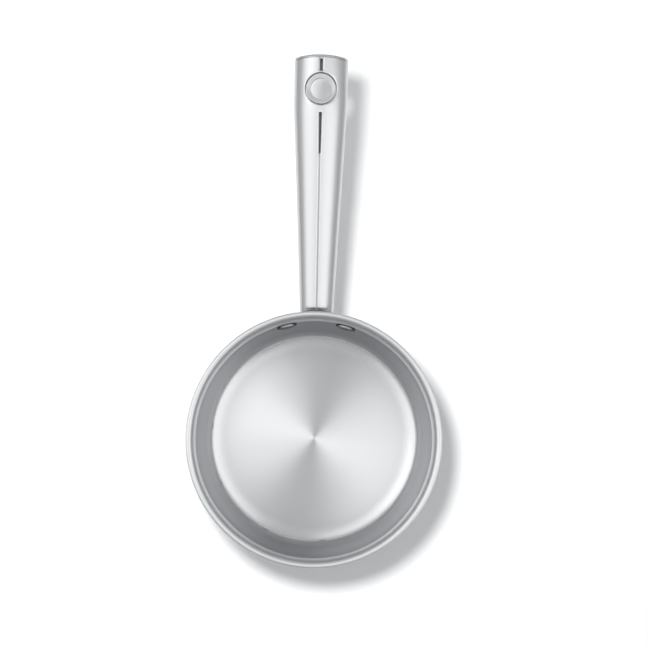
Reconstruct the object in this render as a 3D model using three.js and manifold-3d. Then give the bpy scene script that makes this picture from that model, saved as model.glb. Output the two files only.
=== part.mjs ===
// Saucepan with a rolled handle riveted to its wall. Millimetres, +Z up, handle along +Y.
// The origin is the middle of the base, on the surface that the pan stands on.
import * as THREE from "three";
import { mergeVertices } from "three/addons/utils/BufferGeometryUtils.js";
import Module from "manifold-3d";

const wasm = await Module();
wasm.setup();

const { PI, SQRT1_2, abs, asin, atan2, cos, max, min, sign, sin, sqrt, tan } = Math;
const radians = THREE.MathUtils.degToRad;

// Pan
const INNER_RADIUS = 80; // upright wall, inside
const DEPTH = 75; // cooking floor to the top of the rim
const PAN_SHEET = 0.8;
const WALL_TAPER = 6.1; // how much narrower the foot of the wall is
const UPRIGHT_HEIGHT = 27; // of the upright wall and the rim, above the tapered wall
const ROUND_REACH = 10.9; // rounding from floor to wall, across
const ROUND_HEIGHT = 3.5; // and up
const FLARE_REACH = 4.3; // pouring rim, from the wall to its highest line
const FLARE_HEIGHT = 9; // over which the wall leans out
const LIP_RADIUS = 2.4; // roll of the rim's outer edge, over its upper face
const LIP_SWEEP = radians(45); // from the highest line to the edge of the sheet

// Sandwich base
const CORE_THICKNESS = 5;
const CORE_CLEARANCE = 0.3; // around the core, inside the cap
const CAP_SHEET = 0.6;
const CAP_INSET = 0.5; // cap inside the flat of the pan's underside
const CAP_CORNER = 2.2; // outside, side to underside

// Rivets
const RIVET_SPACING = 40.6; // between the two axes, across the inner wall
const RIVET_DROP = 16; // axes below the top of the rim
const HEAD_RADIUS = 6.8;
const HEAD_HEIGHT = 2.3;
const HEAD_EDGE = 1.3; // straight side of the head
const SHANK_RADIUS = 2.75;
const TAIL_RADIUS = 5;
const TAIL_HEIGHT = 2;
const TAIL_EDGE = 0.5;
const RIVET_CLEARANCE = 0.3; // around the shank and below both heads

// Bracket
const SADDLE_SHEET = 2.5;
const SADDLE_CLEARANCE = 0.3; // to the outer wall
const EAR_RADIUS = 9; // around each rivet
const NECK_LENGTH = 18; // from the outer wall, along the handle
const NECK_CLEARANCE = 0.3; // inside the handle

// Handle
const HANDLE_LENGTH = 177; // from the outer wall to the end of the rolled sheet
const HANDLE_SHEET = 1.2;
const ROOT_RISE = radians(15.5); // slope at the wall
const END_RISE = radians(10.5); // slope at the outer end
const ROOT_WIDTH = 22.6;
const ROOT_HEIGHT = 13.5;
const END_WIDTH = 35.6;
const END_HEIGHT = 19.5;
const GRIP_LENGTH = 34; // stretch of even width at the outer end
const GRIP_BLEND = 12; // length over which the taper eases into it
const TAPER_POWER = 1.12; // above 1, the handle widens faster towards the grip
const SECTION_POWER = 2.3; // of the oval, 2 being an ellipse
const ROOT_CLEARANCE = 0.3; // to the saddle
const NOTCH_HALF_WIDTH = 9.4; // arched relief over the neck
const NOTCH_DEPTH = 3.8; // from the foot of the arch to its top
const NOTCH_REACH = 8.3; // its top beyond the outer wall
const SEAM_DEPTH = 0.5; // groove along the joined edges
const SEAM_HALF_WIDTH = 1.1;
const SLIT_WIDTH = 1.6; // long slit, where the edges stand open
const SLIT_TIP = 0.9; // where they meet
const SLIT_START = 35.6; // wide end of the long slit, from the end of the sheet
const SLIT_LENGTH = 27;
const END_SLIT_WIDTH = 1.7;
const END_SLIT_LENGTH = 8.6;

// Hanging hole
const SLEEVE_FROM_END = 20.3; // axis, from the end of the sheet
const SLEEVE_RADIUS = 10;
const SLEEVE_CLEARANCE = 0.35; // around the sleeve
const BORE_RADIUS = 6.9;
const BORE_MOUTH = 2.6; // width of the cone at both ends of the bore
const MOUTH_DEPTH = 0.8;

// End cap
const CAP_PLATE = 1.7;
const CAP_ROUND = 70; // radius of the outer end, seen from above
const CAP_ROUND_RUN = 16; // length over which the sections bend to that radius
const CAP_EDGE = 1.2; // rounding of its outer edge
const CAP_CLEARANCE = 0.3; // to the rolled sheet
const PLUG_LENGTH = 0.8; // inside the sheet

// Facets
const PAN_FACETS = 60;
const SLEEVE_FACETS = 40;
const RIVET_FACETS = 24;
const ARC_STEPS = 4;
const FLARE_STEPS = 5;
const ROUND_STEPS = 6;
const OUTLINE_STEPS = 8; // around the round ends of cut outlines
const CORNER_STEPS = 2;
const HALF_SECTION_STEPS = 17;
const SECTION_CROWDING = 1.5; // above 1, section points crowd towards the seam
const HANDLE_STATIONS = 13;
const SHORT_STATIONS = 4; // along the neck and around the sleeve
const LID_RINGS = 3;
const MERGE_DISTANCE = 1e-4; // closer points count as one

// Levels and radii that follow from the sizes above
const shellBottom = CAP_SHEET + CORE_THICKNESS;
const floorLevel = shellBottom + PAN_SHEET;
const rimTop = floorLevel + DEPTH;
const outerRadius = INNER_RADIUS + PAN_SHEET;
const uprightLevel = rimTop - UPRIGHT_HEIGHT;
const flatRadius = INNER_RADIUS - WALL_TAPER - ROUND_REACH;
const rivetLevel = rimTop - RIVET_DROP;
const rivetAngle = asin(RIVET_SPACING / 2 / INNER_RADIUS);
const saddleInside = outerRadius + SADDLE_CLEARANCE;
const saddleOutside = saddleInside + SADDLE_SHEET;
const beyond = 2 * (INNER_RADIUS + HANDLE_LENGTH); // longer than any cut has to be

// Closed solid from a geometry, without the empty triangles that a lathe leaves on its axis
function solidOf(geometry) {
  const bare = new THREE.BufferGeometry();
  bare.setAttribute("position", geometry.getAttribute("position"));
  bare.setIndex(geometry.getIndex());
  const merged = mergeVertices(bare, MERGE_DISTANCE);
  const corners = merged.getIndex().array;
  const kept = [];
  for (let i = 0; i < corners.length; i += 3) {
    const [a, b, c] = corners.slice(i, i + 3);
    if (a !== b && b !== c && c !== a) kept.push(a, b, c);
  }
  return new wasm.Manifold(
    new wasm.Mesh({
      numProp: 3,
      vertProperties: Float32Array.from(merged.getAttribute("position").array),
      triVerts: Uint32Array.from(kept),
    }),
  );
}

function geometryOf(solid) {
  const mesh = solid.getMesh();
  const geometry = new THREE.BufferGeometry();
  geometry.setAttribute("position", new THREE.BufferAttribute(mesh.vertProperties, 3));
  geometry.setIndex(new THREE.BufferAttribute(mesh.triVerts, 1));
  geometry.computeVertexNormals();
  return geometry;
}

// Points of an arc in the profile plane, both ends included
function arc(centreX, centreY, radius, from, to, steps = ARC_STEPS) {
  return Array.from({ length: steps + 1 }, (_, i) => {
    const angle = from + ((to - from) * i) / steps;
    return new THREE.Vector2(centreX + radius * cos(angle), centreY + radius * sin(angle));
  });
}

const at = (x, y) => new THREE.Vector2(x, y);

// Body turned about +Z; the profile runs up the outside and back along the inside
function turned(profile, facets) {
  return solidOf(new THREE.LatheGeometry(profile, facets).rotateX(PI / 2));
}

function upright(radius, facets) {
  return solidOf(new THREE.CylinderGeometry(radius, radius, beyond, facets).rotateX(PI / 2));
}

// Skin over rings of equal point count; both ends are closed by fans
function loft(rings) {
  const count = rings[0].length;
  const last = rings.length - 1;
  const points = rings.flat();
  const middle = (ring) =>
    ring.reduce((sum, p) => sum.add(p), new THREE.Vector3()).divideScalar(count);
  points.push(middle(rings[0]), middle(rings[last]));
  const startMiddle = points.length - 2;
  const endMiddle = points.length - 1;
  const corners = [];
  for (let i = 0; i < count; i += 1) {
    const next = (i + 1) % count;
    for (let r = 0; r < last; r += 1) {
      const here = r * count;
      const there = here + count;
      corners.push(here + i, here + next, there + next);
      corners.push(here + i, there + next, there + i);
    }
    corners.push(startMiddle, next, i);
    corners.push(endMiddle, last * count + i, last * count + next);
  }
  const geometry = new THREE.BufferGeometry().setFromPoints(points);
  geometry.setIndex(corners);
  return solidOf(geometry);
}

// Inner or outer face of the body, from the flat floor over its rounding and up the tapered wall
function bodyFace(below) {
  const lean = atan2(WALL_TAPER, uprightLevel - floorLevel - ROUND_HEIGHT);
  const last = atan2(ROUND_REACH, ROUND_HEIGHT * tan(lean));
  const round = Array.from({ length: ROUND_STEPS + 1 }, (_, i) => {
    const turn = (last * i) / ROUND_STEPS;
    const normal = at(-ROUND_HEIGHT * sin(turn), ROUND_REACH * cos(turn)).normalize();
    const face = at(flatRadius + ROUND_REACH * sin(turn), floorLevel + ROUND_HEIGHT * (1 - cos(turn)));
    return face.addScaledVector(normal, -below);
  });
  return [...round, at(INNER_RADIUS + below, uprightLevel)];
}

// Upper or lower face of the rim, from the upright wall over the flare to the edge of the sheet
function rimFace(below) {
  const topX = INNER_RADIUS + FLARE_REACH;
  const flare = Array.from({ length: FLARE_STEPS + 1 }, (_, i) => {
    const turn = (PI / 2) * (i / FLARE_STEPS);
    const normal = at(-cos(turn) / FLARE_REACH, sin(turn) / FLARE_HEIGHT).normalize();
    const face = at(topX - FLARE_REACH * cos(turn), rimTop - FLARE_HEIGHT * (1 - sin(turn)));
    return face.addScaledVector(normal, -below);
  });
  const roll = arc(topX, rimTop - LIP_RADIUS, LIP_RADIUS - below, PI / 2, PI / 2 - LIP_SWEEP);
  return [...flare, ...roll.slice(1)];
}

// Pan shell
function shellProfile() {
  const edgeAngle = PI / 2 - LIP_SWEEP;
  const edgeRadius = PAN_SHEET / 2;
  const edgeReach = LIP_RADIUS - edgeRadius;
  const edgeX = INNER_RADIUS + FLARE_REACH + edgeReach * cos(edgeAngle);
  const edgeY = rimTop - LIP_RADIUS + edgeReach * sin(edgeAngle);
  const edge = arc(edgeX, edgeY, edgeRadius, edgeAngle - PI, edgeAngle, 2 * CORNER_STEPS);
  return [
    at(0, shellBottom),
    ...bodyFace(PAN_SHEET),
    ...rimFace(PAN_SHEET),
    ...edge.slice(1, -1),
    ...rimFace(0).reverse(),
    ...bodyFace(0).reverse(),
    at(0, floorLevel),
  ];
}

// Rivet about its own +Y, which points away from the pan's axis
const headSeat = sqrt(INNER_RADIUS ** 2 - HEAD_RADIUS ** 2) - RIVET_CLEARANCE;
const tailSeat = saddleOutside + RIVET_CLEARANCE;

// Half outline of a low dome, from the edge of its straight side to its top on the axis
function dome(radius, edge, height) {
  const rise = height - edge;
  const ball = (radius ** 2 + rise ** 2) / (2 * rise);
  const reach = asin(radius / ball);
  return arc(0, height - ball, ball, PI / 2 - reach, PI / 2);
}

function rivetProfile() {
  const head = dome(HEAD_RADIUS, HEAD_EDGE, HEAD_HEIGHT).map((p) => at(p.x, headSeat - p.y));
  const tail = dome(TAIL_RADIUS, TAIL_EDGE, TAIL_HEIGHT).map((p) => at(p.x, tailSeat + p.y));
  return [
    ...head.reverse(),
    at(HEAD_RADIUS, headSeat),
    at(SHANK_RADIUS, headSeat),
    at(SHANK_RADIUS, tailSeat),
    at(TAIL_RADIUS, tailSeat),
    ...tail,
  ];
}

// Stands something built along +Y on a rivet's axis; side is -1 for left and 1 for right
function onRivetAxis(geometry, side) {
  return geometry.rotateZ(-side * rivetAngle).translate(0, 0, rivetLevel);
}

function rivet(side) {
  return solidOf(onRivetAxis(new THREE.LatheGeometry(rivetProfile(), RIVET_FACETS), side));
}

function rivetHole(side) {
  const radius = SHANK_RADIUS + RIVET_CLEARANCE;
  const hole = new THREE.CylinderGeometry(radius, radius, 2 * SADDLE_SHEET + PAN_SHEET, RIVET_FACETS);
  return solidOf(onRivetAxis(hole.translate(0, saddleInside, 0), side));
}

function withoutRivetHoles(solid) {
  return solid.subtract(rivetHole(-1)).subtract(rivetHole(1));
}

// Middle line of the handle in the plane x = 0; stations count along it from the outer wall
const rootDirection = at(cos(ROOT_RISE), sin(ROOT_RISE));
const endDirection = at(cos(END_RISE), sin(END_RISE));
const linePoints = [at(outerRadius, rivetLevel)];
linePoints.push(linePoints[0].clone().addScaledVector(rootDirection, HANDLE_LENGTH / 2));
linePoints.push(linePoints[1].clone().addScaledVector(endDirection, HANDLE_LENGTH / 2));
const middleLine = new THREE.QuadraticBezierCurve(...linePoints);

// Frame of the handle at a station: x across, y along, z out of its top
function handleFrame(station) {
  const t = station / HANDLE_LENGTH;
  const point = middleLine.getPoint(t);
  const direction = rootDirection.clone().lerp(endDirection, t).normalize();
  const across = new THREE.Vector3(1, 0, 0);
  const along = new THREE.Vector3(0, direction.x, direction.y);
  const out = new THREE.Vector3(0, -direction.y, direction.x);
  return new THREE.Matrix4().makeBasis(across, along, out).setPosition(0, point.x, point.y);
}

// Share of the widening reached at a station: a long taper that eases into the even grip
function taper(station) {
  const widening = (max(station, 0) / (HANDLE_LENGTH - GRIP_LENGTH)) ** TAPER_POWER;
  const blend = GRIP_BLEND / HANDLE_LENGTH;
  const near = max(blend - abs(widening - 1), 0);
  return min(widening, 1) - near ** 2 / (4 * blend);
}

// Angles around the section from the seam, mirrored left and right
const halfAngles = Array.from(
  { length: HALF_SECTION_STEPS },
  (_, i) => PI * (i / HALF_SECTION_STEPS) ** SECTION_CROWDING,
);
const sectionAngles = [...halfAngles, PI, ...halfAngles.slice(1).reverse().map((a) => -a)];

// Section of the handle at a station, inset from its outer face, with the seam's groove if asked
function section(station, inset = 0, groove = 0, share = 1) {
  const frame = handleFrame(station);
  const halfWidth = THREE.MathUtils.lerp(ROOT_WIDTH, END_WIDTH, taper(station)) / 2 - inset;
  const halfHeight = THREE.MathUtils.lerp(ROOT_HEIGHT, END_HEIGHT, taper(station)) / 2 - inset;
  const bend = THREE.MathUtils.smoothstep(station, HANDLE_LENGTH - CAP_ROUND_RUN, HANDLE_LENGTH);
  const oval = (value) => sign(value) * abs(value) ** (2 / SECTION_POWER);
  return sectionAngles.map((angle) => {
    const x = share * halfWidth * oval(sin(angle));
    const seam = cos(angle) > 0 ? groove * max(0, 1 - abs(x) / SEAM_HALF_WIDTH) : 0;
    const z = share * halfHeight * oval(cos(angle)) - seam;
    const back = bend * (CAP_ROUND - sqrt(CAP_ROUND ** 2 - x ** 2));
    return new THREE.Vector3(x, -back, z).applyMatrix4(frame);
  });
}

function handleBody(from, to, stations, inset, groove) {
  const rings = Array.from({ length: stations + 1 }, (_, i) =>
    section(from + ((to - from) * i) / stations, inset, groove),
  );
  return loft(rings);
}

// Rings that shrink to the middle, so that a curved end face keeps its curve
function lid(station, inset) {
  const shares = Array.from({ length: LID_RINGS }, (_, i) => 1 - (i + 1) / (LID_RINGS + 1));
  return shares.map((share) => section(station, inset, 0, share));
}

// Prism cut down through the top of the handle to its middle line; the outline lies across and along
function topCut(station, outline) {
  const prism = new THREE.ExtrudeGeometry(outline, {
    depth: max(ROOT_HEIGHT, END_HEIGHT),
    bevelEnabled: false,
    curveSegments: OUTLINE_STEPS,
  });
  return solidOf(prism.applyMatrix4(handleFrame(station)));
}

// Long slit from its wide, round end to the tip where the edges of the sheet meet
function longSlit() {
  const half = SLIT_LENGTH / 2;
  const outline = new THREE.Shape();
  outline.moveTo(-SLIT_TIP / 2, -half);
  outline.lineTo(SLIT_TIP / 2, -half);
  outline.lineTo(SLIT_WIDTH / 2, half - SLIT_WIDTH / 2);
  outline.absarc(0, half - SLIT_WIDTH / 2, SLIT_WIDTH / 2, 0, PI);
  outline.closePath();
  return topCut(HANDLE_LENGTH - SLIT_START - half, outline);
}

// Short slit from its round end out through the end of the sheet
function endSlit() {
  const round = END_SLIT_WIDTH / 2;
  const outline = new THREE.Shape();
  outline.moveTo(round, END_SLIT_LENGTH);
  outline.lineTo(-round, END_SLIT_LENGTH);
  outline.absarc(0, round - END_SLIT_LENGTH, round, PI, 2 * PI);
  outline.closePath();
  return topCut(HANDLE_LENGTH, outline);
}

function rootNotch() {
  const outline = new THREE.Shape();
  outline.moveTo(-NOTCH_HALF_WIDTH, -NOTCH_REACH);
  outline.lineTo(NOTCH_HALF_WIDTH, -NOTCH_REACH);
  outline.absellipse(0, 0, NOTCH_HALF_WIDTH, NOTCH_DEPTH, 0, PI);
  outline.closePath();
  return topCut(NOTCH_REACH - NOTCH_DEPTH, outline);
}

const sleeveStation = HANDLE_LENGTH - SLEEVE_FROM_END;

// Body turned about the axis of the hanging hole
function aroundSleeveAxis(profile) {
  const geometry = new THREE.LatheGeometry(profile, SLEEVE_FACETS).rotateX(PI / 2);
  return solidOf(geometry.applyMatrix4(handleFrame(sleeveStation)));
}

function sleeveHole() {
  const radius = SLEEVE_RADIUS + SLEEVE_CLEARANCE;
  const outline = [at(radius, -END_HEIGHT), at(radius, END_HEIGHT)];
  return aroundSleeveAxis([at(0, -END_HEIGHT), ...outline, at(0, END_HEIGHT)]);
}

function handleShell() {
  const outer = handleBody(0, HANDLE_LENGTH, HANDLE_STATIONS, 0, SEAM_DEPTH);
  const hollowEnd = HANDLE_LENGTH + HANDLE_SHEET;
  const hollow = handleBody(-HANDLE_SHEET, hollowEnd, HANDLE_STATIONS, HANDLE_SHEET, 0);
  return outer
    .subtract(hollow)
    .subtract(upright(saddleOutside + ROOT_CLEARANCE, PAN_FACETS))
    .subtract(rootNotch())
    .subtract(longSlit())
    .subtract(endSlit())
    .subtract(sleeveHole());
}

// Sleeve flush with the handle's top and bottom, its bore widening to a cone at both mouths
function hangingSleeve() {
  const end = END_HEIGHT / 2;
  const mouthX = BORE_RADIUS + BORE_MOUTH;
  const profile = [
    at(SLEEVE_RADIUS, -END_HEIGHT),
    at(SLEEVE_RADIUS, END_HEIGHT),
    at(mouthX, END_HEIGHT),
    at(mouthX, end),
    at(BORE_RADIUS, end - MOUTH_DEPTH),
    at(BORE_RADIUS, MOUTH_DEPTH - end),
    at(mouthX, -end),
    at(mouthX, -END_HEIGHT),
    at(SLEEVE_RADIUS, -END_HEIGHT),
  ];
  const reach = SLEEVE_RADIUS + BORE_MOUTH;
  const envelope = handleBody(sleeveStation - reach, sleeveStation + reach, SHORT_STATIONS, 0, 0);
  return aroundSleeveAxis(profile).intersect(envelope);
}

// Plate with the handle's outline and a plug that enters the sheet
function endCap() {
  const inside = HANDLE_SHEET + CAP_CLEARANCE;
  const plate = HANDLE_LENGTH + CAP_CLEARANCE;
  const face = plate + CAP_PLATE;
  const start = HANDLE_LENGTH - PLUG_LENGTH;
  const shoulder = CAP_EDGE * (1 - SQRT1_2);
  return loft([
    ...lid(start, inside).reverse(),
    section(start, inside),
    section(plate, inside),
    section(plate),
    section(face - CAP_EDGE),
    section(face - shoulder, shoulder),
    section(face, CAP_EDGE),
    ...lid(face, CAP_EDGE),
  ]);
}

// Saddle that follows the wall, with the neck that carries the handle
function handleBracket() {
  const ring = turned(
    [
      at(saddleInside, 0),
      at(saddleOutside, 0),
      at(saddleOutside, rimTop),
      at(saddleInside, rimTop),
      at(saddleInside, 0),
    ],
    PAN_FACETS,
  );
  const earX = saddleInside * sin(rivetAngle);
  const outline = new THREE.Shape();
  outline.moveTo(-earX, -EAR_RADIUS);
  outline.lineTo(earX, -EAR_RADIUS);
  outline.absarc(earX, 0, EAR_RADIUS, -PI / 2, PI / 2);
  outline.lineTo(-earX, EAR_RADIUS);
  outline.absarc(-earX, 0, EAR_RADIUS, PI / 2, 1.5 * PI);
  const prism = new THREE.ExtrudeGeometry(outline, {
    depth: saddleOutside,
    bevelEnabled: false,
    curveSegments: OUTLINE_STEPS,
  });
  const window = solidOf(prism.rotateX(PI / 2).rotateZ(PI).translate(0, 0, rivetLevel));
  const inset = HANDLE_SHEET + NECK_CLEARANCE;
  const neck = handleBody(0, NECK_LENGTH, SHORT_STATIONS, inset, 0);
  const core = upright(saddleInside + SADDLE_SHEET / 2, PAN_FACETS);
  return withoutRivetHoles(ring.intersect(window).add(neck.subtract(core)));
}

// Base
function coreProfile() {
  const radius = flatRadius - CAP_INSET - CAP_SHEET - CORE_CLEARANCE;
  const corner = CAP_CORNER - CAP_SHEET;
  return [
    at(0, CAP_SHEET),
    ...arc(radius - corner, CAP_SHEET + corner, corner, -PI / 2, 0, CORNER_STEPS),
    at(radius, shellBottom),
    at(0, shellBottom),
  ];
}

function capProfile() {
  const radius = flatRadius - CAP_INSET;
  const corner = CAP_CORNER - CAP_SHEET;
  return [
    at(0, 0),
    ...arc(radius - CAP_CORNER, CAP_CORNER, CAP_CORNER, -PI / 2, 0, CORNER_STEPS),
    at(radius, shellBottom),
    at(radius - CAP_SHEET, shellBottom),
    ...arc(radius - CAP_CORNER, CAP_CORNER, corner, 0, -PI / 2, CORNER_STEPS),
    at(0, CAP_SHEET),
  ];
}

// Finishes
const steel = (color, roughness) => ({ color, roughness, metalness: 1 });
const SATIN_PAN = steel("#c6c7c8", 0.34);
const POLISHED = steel("#d2d3d4", 0.18);
const SATIN_HANDLE = steel("#d6d7d7", 0.3);
const BASE_STEEL = steel("#b4b5b6", 0.4);
const CORE_ALUMINIUM = steel("#c9cbce", 0.5);
const CAST_STEEL = steel("#bfc0c1", 0.38);

function piece(name, solid, finish) {
  const mesh = new THREE.Mesh(geometryOf(solid), new THREE.MeshStandardMaterial(finish));
  mesh.name = name;
  return mesh;
}

const saucepan = new THREE.Group();
saucepan.name = "saucepan";
saucepan.add(
  piece("pan_shell", withoutRivetHoles(turned(shellProfile(), PAN_FACETS)), SATIN_PAN),
  piece("base_core", turned(coreProfile(), PAN_FACETS), CORE_ALUMINIUM),
  piece("base_cap", turned(capProfile(), PAN_FACETS), BASE_STEEL),
  piece("handle_bracket", handleBracket(), CAST_STEEL),
  piece("rivet_left", rivet(-1), POLISHED),
  piece("rivet_right", rivet(1), POLISHED),
  piece("handle_shell", handleShell(), SATIN_HANDLE),
  piece("hanging_sleeve", hangingSleeve(), POLISHED),
  piece("handle_end_cap", endCap(), SATIN_HANDLE),
);

export default saucepan;
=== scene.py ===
"""Saucepan of stainless steel with a rolled handle that is riveted to its wall.

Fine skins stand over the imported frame, in the same axes: +Z up, the handle along +Y, the origin in
the middle of the base. Sizes of the pieces are in millimetres. Those of the finishes and of the studio
are in metres, as the meshes are.
"""
import logging
import math
from dataclasses import dataclass, field
from enum import Enum
from typing import Optional, Sequence, Union

import bmesh
import bpy
from mathutils import Matrix, Vector


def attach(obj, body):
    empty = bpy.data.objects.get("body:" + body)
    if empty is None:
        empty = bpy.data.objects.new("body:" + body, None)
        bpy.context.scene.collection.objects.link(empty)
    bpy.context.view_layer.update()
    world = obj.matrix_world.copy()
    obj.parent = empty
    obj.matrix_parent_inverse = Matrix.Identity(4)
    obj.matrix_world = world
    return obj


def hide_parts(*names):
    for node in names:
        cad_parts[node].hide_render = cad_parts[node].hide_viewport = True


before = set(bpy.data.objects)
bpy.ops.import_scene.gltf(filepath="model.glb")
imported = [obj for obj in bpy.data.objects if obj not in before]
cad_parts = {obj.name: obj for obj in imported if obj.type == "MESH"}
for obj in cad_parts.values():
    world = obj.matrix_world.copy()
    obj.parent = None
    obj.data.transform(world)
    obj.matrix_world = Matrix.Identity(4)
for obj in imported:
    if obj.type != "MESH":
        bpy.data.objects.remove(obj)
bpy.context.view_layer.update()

LOG = logging.getLogger("saucepan")
MM = 0.001
BODY = "root"
SHARP_ANGLE = math.radians(38)
QUARTER_TURN = math.pi / 2
FULL_TURN = 2 * math.pi
# Map that brushed grain follows: half its width around a piece, and the millimetres of a unit along it.
HALF_MAP = 0.5
MAP_UNIT = 100.0
TINY = 1e-6

Colour = tuple[float, float, float]
Point2 = tuple[float, float]
Point3 = tuple[float, float, float]
Row = tuple[float, float, int]
Input = Union[float, tuple[float, ...], bpy.types.NodeSocket]


class Grain(Enum):
    """How the surface of a steel piece was worked; the value names its node group."""

    TURNED = "turned_grain"
    BRUSHED = "brushed_grain"
    BLASTED = "blasted_grain"


class Effect(Enum):
    """Other effects that several finishes share; the value names its node group."""

    EDGE_POLISH = "edge_polish"
    HEIGHT_FADE = "height_fade"


class LampUse(Enum):
    """What a lamp is for, which decides the rays that see it."""

    SHADOW = "shadow on the floor"
    SHEEN = "sheen of the steel"


class Side(Enum):
    """Left and right of the handle, as signs of x."""

    LEFT = -1
    RIGHT = 1


class Nodes:
    """Adds nodes to a tree and links them."""

    def __init__(self, tree: bpy.types.NodeTree) -> None:
        """Starts on a tree, which keeps the nodes that it has."""
        self.tree = tree

    def add(
        self, kind: str, values: Optional[dict[Union[str, int], Input]] = None, **settings: object
    ) -> bpy.types.Node:
        """Adds one node.

        Args:
            kind: Blender's name of the node type.
            values: Values or sockets for its inputs, by the input's name or number.
            settings: Attributes of the node itself.

        Returns:
            The new node.
        """
        node = self.tree.nodes.new(kind)
        for name, setting in settings.items():
            setattr(node, name, setting)
        for key, value in (values or {}).items():
            self.feed(value, node.inputs[key])
        return node

    def feed(self, value: Input, target: bpy.types.NodeSocket) -> None:
        """Links a socket to an input, or sets a plain value on it.

        Args:
            value: The socket or the plain value.
            target: The input.
        """
        if isinstance(value, bpy.types.NodeSocket):
            self.tree.links.new(value, target)
        else:
            target.default_value = value

    def math(self, operation: str, *values: Input) -> bpy.types.NodeSocket:
        """Adds a math node and gives the socket with its result."""
        return self.add("ShaderNodeMath", dict(enumerate(values)), operation=operation).outputs[0]

    def vector_math(self, operation: str, *values: Input, output: str = "Vector") -> bpy.types.NodeSocket:
        """Adds a vector math node and gives one of its outputs."""
        return self.add("ShaderNodeVectorMath", dict(enumerate(values)), operation=operation).outputs[output]

    def mix(self, share: Input, low: Input, high: Input) -> bpy.types.NodeSocket:
        """Adds a colour mix.

        Args:
            share: Share of the second colour.
            low: Colour at share 0.
            high: Colour at share 1.

        Returns:
            The socket with the mixed colour.
        """
        node = self.add("ShaderNodeMix", {0: share}, data_type="RGBA")
        for value, target in zip((low, high), (s for s in node.inputs if s.type == "RGBA")):
            self.feed(value, target)
        return next(s for s in node.outputs if s.type == "RGBA")


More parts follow.
